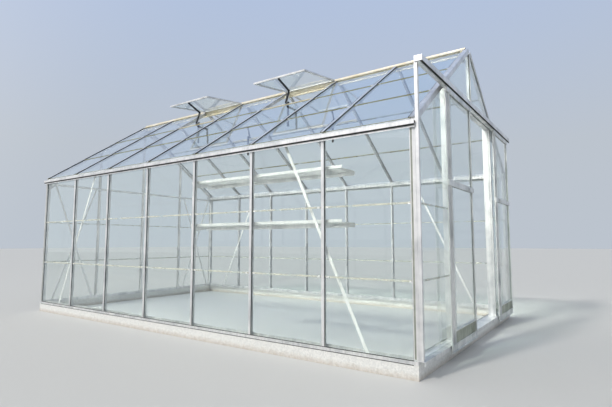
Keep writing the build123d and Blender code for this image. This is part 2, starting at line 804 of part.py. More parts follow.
with BuildPart() as track_posts:
    with BuildSketch(Plane.XY.offset(front_floor_z)):
        for side in sides.values():
            outer = side * (half_w + sill_out)
            band(outer - side * track_post_width, outer,
                 -half_l - post_out, -half_l - post_out - track_post_depth)
    extrude(amount=track_low - front_floor_z)
save(track_posts, "track_posts")

# Sliding doors
door_foot_z = plinth_height - door_drop
door_top_z = track_low - door_head_gap
door_y = -half_l - door_centre
kick_foot_z = door_foot_z + door_bottom_rail
kick_top_z = kick_foot_z + kick_height
mid_low_z = plinth_height + door_mid_height - door_mid_rail / 2
mid_top_z = mid_low_z + door_mid_rail
light_half = door_width / 2 - door_stile
lights = ((kick_top_z + kick_rail, mid_low_z), (mid_top_z, door_top_z - door_top_rail))
closed_centre = (meeting_gap + door_width) / 2
door_places = {"left": -closed_centre - door_left_open, "right": closed_centre + door_right_open}
roller_z = track_low + track_wall + roller_clearance + roller_radius

for name, x in door_places.items():
    side = sides[name]
    face = Plane(origin=(x, door_y, 0), x_dir=(1, 0, 0), z_dir=(0, -1, 0))
    pane_level = face.offset(door_back + (door_plate - door_groove) + door_groove / 2 - door_centre)

    with BuildPart() as door_frame:
        with BuildSketch(face.offset(door_back - door_centre)):
            band(-door_width / 2, door_width / 2, door_foot_z, door_top_z)
            for low, high in ((kick_foot_z, kick_top_z), *lights):
                band(-light_half, light_half, low, high, mode=Mode.SUBTRACT)
        extrude(amount=door_plate)
        with BuildSketch(face.offset(door_back + door_plate - door_centre)):
            for low, high in ((mid_low_z, mid_top_z), (door_top_z - door_top_rail, door_top_z)):
                band(-door_width / 2, door_width / 2, low, high)
            for cheek in (-1, 1):
                band(cheek * light_half, cheek * (light_half + door_bead_width), kick_foot_z, door_top_z)
            band(-light_half, light_half, kick_top_z, kick_top_z + kick_rail)
        extrude(amount=door_bead)
        with BuildSketch(face.offset(door_back + door_plate - door_centre)):
            for low in (door_foot_z, kick_foot_z - bottom_rail_lip):
                band(-door_width / 2, door_width / 2, low, low + bottom_rail_lip)
        extrude(amount=bottom_lip_rise)
        with BuildSketch(pane_level):
            reach = light_half + door_groove_depth
            for low, high in lights:
                band(-reach, reach, low - kick_rail / 4, high + door_groove_depth)
            band(-reach, reach, kick_foot_z - door_groove_depth, kick_top_z + kick_rail / 4)
        extrude(amount=door_groove / 2, both=True, mode=Mode.SUBTRACT)
    save(door_frame, f"door_{name}_frame")

    with BuildPart() as door_glass:
        with BuildSketch(pane_level):
            reach = light_half + door_groove_depth - glass_gap
            for low, high in lights:
                band(-reach, reach, low - kick_rail / 4, high + door_groove_depth - glass_gap)
        extrude(amount=glass / 2, both=True)
    save(door_glass, f"door_{name}_glass")

    with BuildPart() as door_kick_panel:
        with BuildSketch(pane_level):
            reach = light_half + door_groove_depth - glass_gap
            band(-reach, reach, kick_foot_z - door_groove_depth, kick_top_z + kick_rail / 4 - glass_gap)
        extrude(amount=kick_panel / 2, both=True)
    save(door_kick_panel, f"door_{name}_kick_panel")

    with BuildPart() as door_handle:
        handle_x = -side * (door_width / 2 - handle_inset)
        handle_z = (mid_low_z + mid_top_z) / 2
        handle_base = face.offset(door_front - door_centre)
        with BuildSketch(handle_base):
            band(handle_x - handle_width / 2, handle_x + handle_width / 2,
                 handle_z - handle_height / 2, handle_z + handle_height / 2)
        extrude(amount=handle_reach)
        with BuildSketch(handle_base):
            band(handle_x - handle_width / 2, handle_x + handle_width / 2,
                 handle_z - handle_height / 2 + handle_foot, handle_z + handle_height / 2 - handle_foot)
        extrude(amount=handle_reach - handle_foot, mode=Mode.SUBTRACT)
    save(door_handle, f"door_{name}_handle")

    with BuildPart() as door_hangers:
        for spread in (-1, 1):
            middle = spread * (door_width / 2 - hanger_inset)
            with BuildSketch(face):
                band(middle - hanger_width / 2, middle + hanger_width / 2, door_top_z,
                     roller_z + roller_axle)
            extrude(amount=hanger_plate / 2, both=True)
            with BuildSketch(face):
                with Locations((middle, roller_z)):
                    Circle(roller_axle)
            extrude(amount=hanger_slot / 2 + roller_width, both=True)
            for cheek in (-1, 1):
                with BuildSketch(face.offset(cheek * (hanger_slot / 2 + 0.5))):
                    with Locations((middle, roller_z)):
                        Circle(roller_radius)
                extrude(amount=cheek * roller_width)
    save(door_hangers, f"door_{name}_hangers")

# Shelves on brackets from the bars of the left wall
shelf_from = shelf_first_bays * bay - half_l
shelf_to = shelf_last_bays * bay - half_l
shelf_back_x = -half_w + bar_in + shelf_wall_gap
shelf_front_x = shelf_back_x + shelf_depth
shelf_middle = (shelf_from + shelf_to) / 2
for name, height in shelf_heights.items():
    shelf_z = plinth_height + height
    with BuildPart() as shelf:
        with BuildSketch(Plane.XZ.offset(-shelf_middle)):
            band(shelf_back_x, shelf_front_x, shelf_z - shelf_plate, shelf_z)
            band(shelf_back_x, shelf_back_x + shelf_plate, shelf_z, shelf_z + shelf_back_lip)
            band(shelf_front_x - shelf_plate, shelf_front_x, shelf_z - shelf_front_lip, shelf_z)
        extrude(amount=(shelf_to - shelf_from) / 2, both=True)
        with BuildSketch(Plane.XY.offset(shelf_z)):
            with Locations(((shelf_back_x + shelf_front_x) / 2, shelf_middle)):
                with GridLocations(shelf_slot_pitch, shelf_slot_step, shelf_slot_rows, shelf_slots):
                    Rectangle(shelf_slot_width, shelf_slot_length)
        extrude(amount=-shelf_plate, mode=Mode.SUBTRACT)
    save(shelf, f"shelf_{name}")

with BuildPart() as shelf_brackets:
    for height in shelf_heights.values():
        top = plinth_height + height - shelf_plate
        root_x = -half_w + bar_in
        tip_x = shelf_front_x - shelf_plate
        for bar in bracket_bars:
            with BuildSketch(Plane.XZ.offset(half_l - bar * bay)):
                outline((root_x, top - bracket_root), (root_x, top), (tip_x, top),
                        (tip_x, top - bracket_tip))
            extrude(amount=bracket_thickness / 2, both=True)
save(shelf_brackets, "shelf_brackets")
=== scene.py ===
# %% [markdown]
# A glass greenhouse in Blender, one step at a time.
# The frame comes from the CAD model: every bar, sill and pane is already there at its real
# size, in metres, with +Z up and the front gable with its sliding doors facing -Y.
# Blender adds what a drawing office leaves out: how the metal and glass look, and the small
# parts that hold the house together. We load the frame first. Nothing that we add may make
# the house bigger.

# %% Load the frame
import json
import math

import bmesh
import bpy
from mathutils import Matrix, Vector


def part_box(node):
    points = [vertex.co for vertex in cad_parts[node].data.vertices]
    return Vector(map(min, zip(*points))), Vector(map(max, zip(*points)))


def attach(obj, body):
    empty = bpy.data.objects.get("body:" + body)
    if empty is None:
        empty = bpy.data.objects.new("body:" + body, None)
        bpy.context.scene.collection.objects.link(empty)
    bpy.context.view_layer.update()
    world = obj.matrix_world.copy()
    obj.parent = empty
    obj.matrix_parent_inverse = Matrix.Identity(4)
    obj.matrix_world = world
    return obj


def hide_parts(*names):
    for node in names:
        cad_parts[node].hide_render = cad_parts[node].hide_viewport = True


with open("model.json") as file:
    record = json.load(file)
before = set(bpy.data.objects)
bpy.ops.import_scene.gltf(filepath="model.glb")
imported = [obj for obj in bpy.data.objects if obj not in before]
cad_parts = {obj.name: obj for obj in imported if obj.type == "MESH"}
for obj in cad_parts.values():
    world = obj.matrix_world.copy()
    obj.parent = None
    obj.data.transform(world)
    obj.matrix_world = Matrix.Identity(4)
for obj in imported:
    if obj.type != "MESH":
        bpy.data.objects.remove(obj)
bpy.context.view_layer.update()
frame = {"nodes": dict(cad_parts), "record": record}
nodes = frame["nodes"]
print("nodes in the frame:", len(nodes))

# %% [markdown]
# Everything that we add is placed from a few lines that builders would chalk out: the plane
# of the glass on each wall, the bars at equal bays, the eave and the pitch of the roof.
# They are read from the boxes of the CAD nodes, so a part sits where the metal is.

# %% Lines of the house
post_out = 0.013    # a corner post stands this far outside the glass line
post_in = 0.025
side_bays = 7
pitch = math.radians(35)
gutter_depth = 0.042    # from the eave line to the underside of the gutter
sill_sheet = 0.004
glass = 0.004
glass_gap = 0.0005
pane_lap = 0.012
lap_step = 0.0046    # the foot of a pane lies this much further out than its head
courses = 3
vent_bays = (3, 5)

post_box = [Vector(corner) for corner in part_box("corner_posts")]
wall_x = post_box[1].x - post_out
front_y = post_box[0].y + post_out
rear_y = post_box[1].y - post_out
bay = (rear_y - front_y) / side_bays
eave_z = post_box[1].z + gutter_depth
ridge_s = wall_x / math.cos(pitch) - 0.034    # how far up the slope the panes end
floor_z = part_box("sill_rear")[0][2] + sill_sheet
front_floor_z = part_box("track_posts")[0][2]
track_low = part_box("door_track")[0][2]
sides = (-1, 1)
gables = ((front_y, -1), (rear_y, 1))    # the plane of the glass, and the way outward
print("bay", round(bay, 4), "eave", round(eave_z, 3), "half width", round(wall_x, 3))

# %% [markdown]
# A few small helpers serve the whole lesson. Colours are written as the sRGB hex values that
# a paint card or a picture gives, but shaders count in linear light, so one function turns
# the first into the second. Another adds a node, sets its options and fills its inputs,
# from plain values, from other nodes or from one of their sockets.

# %% Helpers for objects, colours and nodes
corner_signs = ((-1, -1), (1, -1), (1, 1), (-1, 1))    # of a rectangle round its middle


def put(name, data):
    """Makes an object of its data and puts it in the scene."""
    thing = bpy.data.objects.new(name, data)
    bpy.context.scene.collection.objects.link(thing)
    return thing


def linear(hex_colour):
    """The linear RGBA of an sRGB hex colour."""
    channels = [int(hex_colour[i:i + 2], 16) / 255 for i in (1, 3, 5)]
    return [c / 12.92 if c <= 0.04045 else ((c + 0.055) / 1.055) ** 2.4 for c in channels] + [1.0]


def fill(tree, node, inputs):
    """Fills or links inputs of a node, by name or number. A node stands for its first output."""
    for name, value in inputs.items():
        if isinstance(value, bpy.types.Node):
            value = value.outputs[0]
        if isinstance(value, bpy.types.NodeSocket):
            tree.links.new(value, node.inputs[name])
        else:
            node.inputs[name].default_value = value
    return node


def add_node(tree, kind, inputs=None, **settings):
    """A new node with its options set and its inputs filled. The tree completes a short kind."""
    node = tree.nodes.new(kind if "Node" in kind else tree.bl_idname.replace("Tree", kind))
    for name, value in settings.items():
        setattr(node, name, value)
    return fill(tree, node, inputs or {})


print("mid grey in linear light:", [round(c, 3) for c in linear("#808080")])

# %% [markdown]
# A photograph fixes where the viewer stood. The eye here is three quarters of a metre up,
# two and a half metres off the near corner, with a moderately wide lens.
# A camera looks along its own -Z, so a turn of 90 degrees about X lifts it to the horizon,
# and a few degrees more tilt it up towards the ridge.

# %% Camera
eye = Vector((-3.626, front_y - 0.912, 0.754))
eye_yaw = 34.98    # degrees from +X towards +Y
eye_pitch = 5.07

camera_data = bpy.data.cameras.new("camera")
camera_data.lens = 25.87
camera_data.sensor_width = 36.0
camera_data.clip_start = 0.05
camera_data.clip_end = 200.0
camera = put("camera", camera_data)
camera.location = eye
camera.rotation_euler = (math.radians(90 + eye_pitch), 0, math.radians(eye_yaw - 90))
bpy.context.scene.camera = camera
print("camera at", tuple(round(c, 2) for c in eye))

# %% [markdown]
# A shader is a chain of small steps, and the same few come back in every material: some
# arithmetic, one range of values turned into another, a blend of two colours, and noise.
# Each of these functions adds one step to a tree and returns what the next step needs.

# %% Helpers for shaders
def calc(tree, operation, *values):
    """One step of arithmetic."""
    return add_node(tree, "Math", dict(enumerate(values)), operation=operation)


def remap(tree, value, low=0.0, high=1.0, to_low=0.0, to_high=1.0, curve="LINEAR"):
    """Turns the range from low to high into another, and stops at its ends."""
    inputs = {"Value": value, "From Min": low, "From Max": high, "To Min": to_low, "To Max": to_high}
    return add_node(tree, "MapRange", inputs, clamp=True, interpolation_type=curve)


def blend(tree, factor, first, second):
    """A colour between two, each of them a hex value or a socket."""
    first, second = (linear(c) if isinstance(c, str) else c for c in (first, second))
    mix = add_node(tree, "Mix", {"Factor": factor, 6: first, 7: second}, data_type="RGBA")
    return mix.outputs[2]


def split(tree, vector):
    """The X, Y and Z of a vector."""
    return add_node(tree, "SeparateXYZ", {0: vector}).outputs


def noise(tree, place, scale, detail=2.0):
    """Cloudy noise, so many waves to the metre."""
    return add_node(tree, "TexNoise", {"Vector": place, "Scale": scale, "Detail": detail})


def new_material(name):
    """A material, with its tree, its shader and its coordinates on the object."""
    material = bpy.data.materials.new(name)
    material.use_nodes = True
    tree = material.node_tree
    place = add_node(tree, "TexCoord").outputs["Object"]
    return material, tree, tree.nodes["Principled BSDF"], place


print("shader helpers ready")

# %% [markdown]
# The house stands in a plain studio. Metal and glass have hardly any colour of their own and
# show their surroundings, so the room can't be one flat tone. Ours is nearly white on the
# left, where the long wall looks, and a pale bluish grey on the right and in front of the
# gable. The tone follows one direction across the room, by a dot product, so it stays put
# when the viewer walks round.
# The viewer sees the room at full strength, and so do metal and glass, in what they mirror
# and let through; there it also turns light blue overhead, a sheen on the roof panes. The
# light that it throws on the house is a little weaker and stays neutral.

# %% World
bright_side = Vector((-0.85, 0.25, 0.46))
light_strength = 0.8
seen_strength = 1.0
most_blue = 0.9

world = bpy.data.worlds.new("studio")
bpy.context.scene.world = world
world.use_nodes = True
room = world.node_tree
room.nodes.clear()
looking = add_node(room, "TexCoord").outputs["Generated"]
toward_windows = add_node(room, "VectorMath", {0: looking, 1: bright_side},
                          operation="DOT_PRODUCT").outputs["Value"]
tone = blend(room, remap(room, toward_windows, -0.15, 0.88, curve="SMOOTHSTEP"), "#bcc4ce", "#f8f9fb")
ray = add_node(room, "LightPath").outputs
seen = calc(room, "MAXIMUM", ray["Is Camera Ray"], ray["Is Glossy Ray"])
seen = calc(room, "MAXIMUM", seen, ray["Is Transmission Ray"])
overhead = remap(room, split(room, looking)["Z"], 0.2, 0.8, 0.0, most_blue)
skylight = blend(room, calc(room, "MULTIPLY", overhead, seen), tone, "#a6c0ee")
strength = remap(room, seen, to_low=light_strength, to_high=seen_strength)
studio_light = add_node(room, "Background", {"Color": skylight, "Strength": strength})
add_node(room, "OutputWorld", {"Surface": studio_light})
print("world made")

# %% [markdown]
# The floor is one large matt sheet. It catches the shadow of the house and throws a little
# light back up under the gutter and the doors.
# One sun lamp, high on the left and a little behind the front gable, makes the long wall
# bright and leaves the gable in half shade. Its angle of six degrees softens the edges of
# its shadows. A broad panel beside it fills the roof and the wall without hard highlights.

# %% Floor and lamps
floor_half = 60.0
floor_mesh = bpy.data.meshes.new("studio_floor")
floor_mesh.from_pydata([(x * floor_half, y * floor_half, 0) for x, y in corner_signs], [], [(0, 1, 2, 3)])
floor = put("studio_floor", floor_mesh)
floor_material, floor_tree, floor_shader, _ = new_material("matt_studio_floor")
fill(floor_tree, floor_shader, {"Base Color": linear("#d2d3d2"), "Roughness": 0.9})
floor_mesh.materials.append(floor_material)


def lamp(name, kind, energy, colour, place, target):
    """A lamp at a place, facing a target."""
    data = bpy.data.lights.new(name, kind)
    data.energy = energy
    data.color = linear(colour)[:3]
    thing = put(name, data)
    thing.location = place
    thing.rotation_euler = (Vector(target) - Vector(place)).to_track_quat("-Z", "Y").to_euler()
    return data


sun = lamp("sun", "SUN", 1.55, "#fff9f0", (-8, 2.2, 6.5), (0, 0, 0))
sun.angle = math.radians(6)
panel = lamp("window_panel", "AREA", 40.0, "#fffaf2", (-7.5, 3.5, 5.2), (-0.8, 0, 1.0))
panel.shape = "RECTANGLE"
panel.size = 7.0
panel.size_y = 3.5

# %% [markdown]
# Extruded aluminium that was never painted is called mill finish. Out of the die it is
# bright, and after some summers a thin grey oxide makes it paler and duller. Rain leaves
# faint streaks that run down and blotches where it dried, and the die leaves fine lines.
# The oxide scatters light, so the metal isn't fully metallic: some of it is a pale chalky
# skin, and that skin is what makes the sunny faces look white. Two noises, long streaks and
# even blotches, drive the colour and the roughness, and a third, a fine grain, the bump.
# The ridge and the cills of the vents get a brighter, cream and less metallic copy, painted warm sunlight.

# %% Aluminium
streak_mm = 18.0
streak_stretch = 0.06    # a streak is far longer than it is wide
streak_share = 0.6
blotch_mm = 120.0
grain_scale = 700.0


def bare_aluminium(name, bright, dull, roughness, metallic=0.62):
    """Weathered bare metal between two colours, streaked down and blotched."""
    material, tree, shader, place = new_material(name)
    drawn_out = add_node(tree, "Mapping",
                         {"Vector": place, "Scale": (1.0, 1.0, streak_stretch)})
    streaks = noise(tree, drawn_out, 1000 / streak_mm, 4.0)
    blotches = noise(tree, place, 1000 / blotch_mm, 6.0)
    wear = calc(tree, "MULTIPLY_ADD", streaks, streak_share, blotches)
    grain = noise(tree, drawn_out, grain_scale)
    relief = add_node(tree, "Bump", {"Height": grain, "Strength": 0.08, "Distance": 0.0003})
    fill(tree, shader, {"Base Color": blend(tree, remap(tree, wear, 0.62, 1.0), bright, dull),
                        "Roughness": remap(tree, wear, 0.5, 1.1, roughness - 0.08, roughness + 0.14),
                        "Normal": relief, "Metallic": metallic})
    return material


frame_metal = bare_aluminium("mill_finish_aluminium", "#f0f0f0", "#c9cbcd", 0.36)
# Painted sunlight: the braces and the bolts get a whiter, less metallic copy, as if lit through the glass.
brace_metal_painted_sunlit = bare_aluminium("rolled_flat_aluminium_painted_sunlit", "#fcfcfb", "#e6e6e4", 0.45, 0.35)
door_metal = bare_aluminium("mill_finish_door_aluminium", "#e8e9e8", "#bcc0c0", 0.36)
# A painted reflection: the kick panels get a darker green-grey copy, the grass that they would mirror.
panel_metal_painted_reflection = bare_aluminium("sheet_aluminium_painted_grass_reflection", "#b9bdb0", "#8d9382", 0.5)
shelf_metal = bare_aluminium("bright_sheet_aluminium", "#f8f8f6", "#dcdedd", 0.4)
# Painted warm sunlight: the ridge and the vent cills are brighter and cream.
ridge_metal_painted_sunlit = bare_aluminium("painted_sunlit_ridge_aluminium", "#f8f1e0", "#e3d8b8", 0.45, 0.35)
print("aluminium in six conditions")

# %% [markdown]
# The plinth is galvanised sheet steel. Zinc freezes on the steel in patches the size of a
# fingernail, each with its own slight tone, called spangle, and it weathers nearly white.
# A Voronoi texture has just such cells. Close to the floor, dirty rain splashes on it, so
# a brown tint fades out over the lowest few centimetres, broken up by noise.

# %% Galvanised steel
spangle_mm = 9.0
splash_foot = -0.03
splash_head = 0.015
splash_raggedness = 0.05
most_splash = 0.5

galvanised, zinc, zinc_shader, zinc_place = new_material("galvanised_sheet_steel")
cells = add_node(zinc, "TexVoronoi", {"Vector": zinc_place, "Scale": 1000 / spangle_mm})
cell_tone = split(zinc, cells.outputs["Color"])
zinc_tone = blend(zinc, cell_tone["X"], "#f3f3f0", "#e2e3e1")
ragged = noise(zinc, zinc_place, 45.0, 6.0)
height = split(zinc, zinc_place)["Z"]
splash_line = calc(zinc, "MULTIPLY_ADD", ragged, -splash_raggedness, height)
splash = remap(zinc, splash_line, splash_foot, splash_head, most_splash, 0.0)
fill(zinc, zinc_shader, {"Base Color": blend(zinc, splash, zinc_tone, "#a48f74"),
                         "Roughness": remap(zinc, cell_tone["Y"], to_low=0.42, to_high=0.58),
                         "Metallic": 0.35})
print("spangle cells of", spangle_mm, "mm")

# %% [markdown]
# Horticultural glass is clear float glass. It shows in three ways: it mirrors the room at
# a slant, its cut edges are green because one looks through a long way of glass there, and
# where the panes lap there is a thin line. On the roof it is dirt and algae that rain draws
# into the gap, and on the walls and gables it is a pale painted highlight on the lapped edge.
# A Principled shader with full transmission gives the clear part. Lamps shine straight
# through thin glass, so for shadow rays it is swapped for a plain transparent shader.
# The edge is found by the direction that the face points in, and the laps by a repeat of
# their height, because every course is as high as the next.

# %% Glass
slanted = 0.7    # a face turned further than this from its wall is a cut edge


def pane_glass(name, facing, first_foot=0.0, course_rise=0.0, lap_dirt_and_glint="#a4a06c", density=0.0, edge="#7fa898"):
    """Clear glass with green edges, and a line in each lap where course_rise is given: grime and algae
    where the lap colour is dark, a painted highlight where it is pale.
    """
    material, tree, shader, place = new_material(name)
    fill(tree, shader, {"Base Color": linear("#f8fcfb"), "Roughness": 0.0, "IOR": 1.5,
                        "Transmission Weight": 1.0})
    lamp_ray = add_node(tree, "LightPath").outputs["Is Shadow Ray"]
    passing = add_node(tree, "BsdfTransparent", {"Color": linear("#f2f7f5")})
    clear = add_node(tree, "MixShader", {0: lamp_ray, 1: shader, 2: passing})
    facing_share = calc(tree, "ABSOLUTE", split(tree, place.node.outputs["Normal"])[facing])
    cut_edge = calc(tree, "LESS_THAN", facing_share, slanted)
    mask = cut_edge
    tint = linear(edge)
    if course_rise:
        above = calc(tree, "SUBTRACT", split(tree, place)["Z"], first_foot)
        level = calc(tree, "DIVIDE", above, course_rise)
        lap_share = pane_lap * (math.sin(pitch) if facing == "Z" else 1.0) / course_rise
        in_lap = calc(tree, "LESS_THAN", calc(tree, "FRACT", level), lap_share)
        not_first = calc(tree, "GREATER_THAN", level, 0.9)
        not_last = calc(tree, "LESS_THAN", level, courses - 0.5)
        lap = calc(tree, "MULTIPLY", in_lap, calc(tree, "MULTIPLY", not_first, not_last))
        lap_dirt_and_glint_share = remap(tree, noise(tree, place, 14.0, 6.0), 0.3, 0.65, 0.0, density)
        mask = calc(tree, "MAXIMUM", calc(tree, "MULTIPLY", lap, lap_dirt_and_glint_share), cut_edge)
        tint = blend(tree, cut_edge, lap_dirt_and_glint, edge)
    solid = add_node(tree, "BsdfPrincipled", {"Base Color": tint, "Roughness": 0.35})
    whole = add_node(tree, "MixShader", {0: mask, 1: clear, 2: solid})
    fill(tree, tree.nodes["Material Output"], {"Surface": whole})
    return material


wall_foot, wall_head = (corner[2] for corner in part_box("wall_glass_left"))
wall_pane_length = (wall_head - wall_foot + (courses - 1) * pane_lap) / courses
roof_overhang = 0.010
roof_pane_length = (ridge_s - glass_gap + roof_overhang + (courses - 1) * pane_lap) / courses
roof_step = roof_pane_length - pane_lap
roof_foot = eave_z - roof_overhang * math.sin(pitch)
wall_rise = wall_pane_length - pane_lap
roof_rise = roof_step * math.sin(pitch)
pane_finishes = {
    # On the walls and the gables the pale lap line is a painted highlight on the lapped edges; on the roof
    # the line is dirt and algae.
    "wall": pane_glass("float_glass_long_walls", "X", wall_foot, wall_rise, "#e6e6d8", 0.55),
    "gable": pane_glass("float_glass_gables", "Y", wall_foot, wall_rise, "#e6e6d8", 0.5),
    "roof": pane_glass("float_glass_roof", "Z", roof_foot, roof_rise, "#8f8c55", 0.9, "#9c9a6a"),
    "door": pane_glass("float_glass_doors", "Y"),
    "vent": pane_glass("float_glass_vents", "Z"),
}
print("laps every", round(wall_rise, 3), "m up the walls and", round(roof_rise, 3), "m up the roof")

# %% [markdown]
# The black and dark parts are a coated steel for the vent openers, moulded nylon for the
# wheels and for the end plates that paint the shade inside hollow ends, and EPDM rubber for
# the strips, which press on the glass and in places paint shade too. None is a true black:
# dust and sunlight turn all of them to a very dark grey, and rubber is the dullest. Each gets
# a grain in its roughness, because an even gloss looks like wet paint.

# %% Dark finishes
def dark_finish(name, colour, dusty, roughness, grain_mm):
    """Coated or moulded part, dusty in patches, with a fine grain in its gloss."""
    material, tree, shader, place = new_material(name)
    dust = remap(tree, noise(tree, place, 30.0, 5.0), 0.35, 0.7)
    grain = noise(tree, place, 1000 / grain_mm)
    fill(tree, shader, {"Base Color": blend(tree, dust, colour, dusty),
                        "Roughness": remap(tree, grain, to_low=roughness - 0.1, to_high=roughness + 0.1)})
    return material


coated_steel = dark_finish("black_coated_steel", "#141416", "#2a2a2b", 0.38, 1.0)
nylon = dark_finish("dark_moulded_nylon", "#26272a", "#3b3b3c", 0.5, 0.8)
rubber = dark_finish("epdm_rubber", "#1c1d1c", "#35352f", 0.75, 0.6)
print("dark finishes made")

# %% [markdown]
# Every CAD node now gets the finish of its part. The record says which slot a node belongs
# to, and the panes are told apart by their wall, because their laps lie differently.

# %% Dress the frame
finishes = {
    "frame_aluminium": frame_metal,
    "brace_aluminium": brace_metal_painted_sunlit,
    "door_aluminium": door_metal,
    "kick_panel_aluminium": panel_metal_painted_reflection,
    "shelf_aluminium": shelf_metal,
    "handle_aluminium": shelf_metal,
    "plinth_steel": galvanised,
    "opener_black": coated_steel,
    "roller_nylon": nylon,
}
node_finishes = {row["node"]: finishes.get(row["material_slot"]) or pane_finishes[row["node"].split("_")[0]]
                 for row in frame["record"]["subparts"]}
node_finishes.update(ridge_beam=ridge_metal_painted_sunlit, vent_cills=ridge_metal_painted_sunlit)
for node, finish in node_finishes.items():
    nodes[node].data.materials.clear()
    nodes[node].data.materials.append(finish)
print("dressed", len(node_finishes), "nodes")

# %% [markdown]
# Small parts that repeat are grown by Geometry Nodes. One helper starts a tree with named
# inputs and another closes it. One makes a mesh of places, where each point carries the
# turn of what goes there, and one runs the tree on them and keeps the result as a plain
# mesh, because instances and modifiers don't survive an export.

# %% Helpers for parts that repeat
def new_tree(name, **inputs):
    """A Geometry Nodes tree with named inputs, and their sockets."""
    tree = bpy.data.node_groups.new(name, "GeometryNodeTree")
    for title, kind in ({"Geometry": "Geometry"} | inputs | {"Material": "Material"}).items():
        tree.interface.new_socket(title, in_out="INPUT", socket_type="NodeSocket" + kind)
    tree.interface.new_socket("Geometry", in_out="OUTPUT", socket_type="NodeSocketGeometry")
    return tree, add_node(tree, "NodeGroupInput").outputs


def close_tree(tree, given, geometry):
    """Makes instances real, gives them the material and ends the tree."""
    real = add_node(tree, "RealizeInstances", {0: geometry})
    dressed = add_node(tree, "SetMaterial", {0: real, "Material": given["Material"]})
    add_node(tree, "NodeGroupOutput", {0: dressed})
    print(tree.name, "tree has", len(tree.nodes), "nodes")


def joined(tree, solids):
    """Solids moved to their places and joined."""
    stack = add_node(tree, "JoinGeometry")
    for solid, shift in solids:
        fill(tree, stack, {0: add_node(tree, "Transform", {0: solid, "Translation": shift})})
    return stack


def on_points(tree, given, instance, **inputs):
    """An instance on every point, turned as the point says."""
    turn = add_node(tree, "InputNamedAttribute", {"Name": "turn"}, data_type="FLOAT_VECTOR")
    points = add_node(tree, "MeshToPoints", {0: given["Geometry"]})
    return add_node(tree, "InstanceOnPoints",
                    {"Points": points, "Instance": instance, "Rotation": turn, **inputs})


def places(name, spots):
    """Points with a turn. A spot is a point, and its across and outward axes."""
    mesh = bpy.data.meshes.new(name)
    mesh.from_pydata([spot[0] for spot in spots], [], [])
    turn = mesh.attributes.new("turn", "FLOAT_VECTOR", "POINT")
    for number, (_, across, outward) in enumerate(spots):
        across, outward = Vector(across).normalized(), Vector(outward).normalized()
        turn.data[number].vector = Matrix((across, outward.cross(across), outward)).transposed().to_euler()
    return mesh


def lines(name, pairs):
    """A mesh of loose edges, one for each pair of end points."""
    mesh = bpy.data.meshes.new(name)
    mesh.from_pydata([tuple(end) for pair in pairs for end in pair],
                     [(2 * n, 2 * n + 1) for n in range(len(pairs))], [])
    return mesh


def grow(name, tree, base, **values):
    """Runs a tree on a mesh and returns the result as a plain object at the origin."""
    holder = put(name + "_places", base)
    modifier = holder.modifiers.new("grow", "NODES")
    modifier.node_group = tree
    for item in tree.interface.items_tree:
        if item.in_out == "INPUT" and item.name in values:
            modifier[item.identifier] = values[item.name]
    graph = bpy.context.evaluated_depsgraph_get()
    mesh = bpy.data.meshes.new_from_object(holder.evaluated_get(graph))
    bpy.data.objects.remove(holder)
    print(name, "has", len(mesh.polygons), "faces")
    return put(name, mesh)


def settle(piece, body, slot, *replaced):
    """Makes a finished piece part of a body and hides the nodes it replaces. The slot is not used."""
    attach(piece, body)
    if replaced:
        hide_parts(*replaced)


def roof_point(side, y, up, out):
    """Point of a roof slope: up from the eave line, out from the plane of the glass seat."""
    return Vector((side * (wall_x - up * math.cos(pitch) + out * math.sin(pitch)), y,
                   eave_z + up * math.sin(pitch) + out * math.cos(pitch)))


def rafter_underside(x, below):
    """Height at x of a line that lies the given distance under the roof's seat plane."""
    return eave_z + (wall_x - abs(x)) * math.tan(pitch) - below / math.cos(pitch)


print("helpers ready")

# %% [markdown]
# A black rubber strip closes the gap between each bar's cap and the pane. It draws the dark
# line beside every bright bar, partly as rubber and partly as a painted shade at the side of
# the cap. The tree sweeps a small round section along loose edges, and Python only says
# where each edge runs: along both upright edges of every pane, on its outer face, from its
# foot to where the next pane laps over it.

# %% Tree for the rubber strips
strip_tree, strip_in = new_tree("rubber_and_painted_shade_strips", Radius="Float")
strip_path = add_node(strip_tree, "MeshToCurve", {0: strip_in["Geometry"]})
strip_section = add_node(strip_tree, "CurvePrimitiveCircle",
                         {"Resolution": 6, "Radius": strip_in["Radius"]})
strip_sweep = add_node(strip_tree, "CurveToMesh",
                       {"Curve": strip_path, "Profile Curve": strip_section, "Fill Caps": True})
close_tree(strip_tree, strip_in, strip_sweep)


def lay_strips(name, ends, radius, body="house"):
    """Rubber strips of one radius along lines, as one piece of a body."""
    piece = grow(name, strip_tree, lines(name + "_lines", ends), Radius=radius, Material=rubber)
    settle(piece, body, "roller_nylon")


# %% [markdown]
# The long sides come first. Every bay has three panes up the wall and three up the roof,
# with two upright edges each. A vent fills the top third of its bay, so there the strips
# stop at the second pane. Beside a corner post the strip stands off the post, and beside a
# bar it stands off the bar's cap. On the roof the rubber is twice as thick, a painted shade
# along the dark side of each roof bar.

# %% Rubber strips of the long sides
strip_radius = 0.0013
# Twice as thick on the roof: the extra rubber is a painted shade on the dark side of each roof bar.
roof_shade_strip_radius = 0.0026
pressed = 0.8    # a pressed strip leans on the metal with this share of its radius
cap_half = 0.011
ridge_cover = 0.014
pane_face = glass_gap / 2 + glass
foot_out = lap_step + pane_face + strip_radius
head_out = pane_face + strip_radius


def edge_lines(number, radius):
    """Where along the house the strips at the two upright edges of a bay run."""
    near = post_in if number == 1 else cap_half
    far = post_in if number == side_bays else cap_half
    return (front_y + (number - 1) * bay + near + radius * pressed,
            front_y + number * bay - far - radius * pressed)


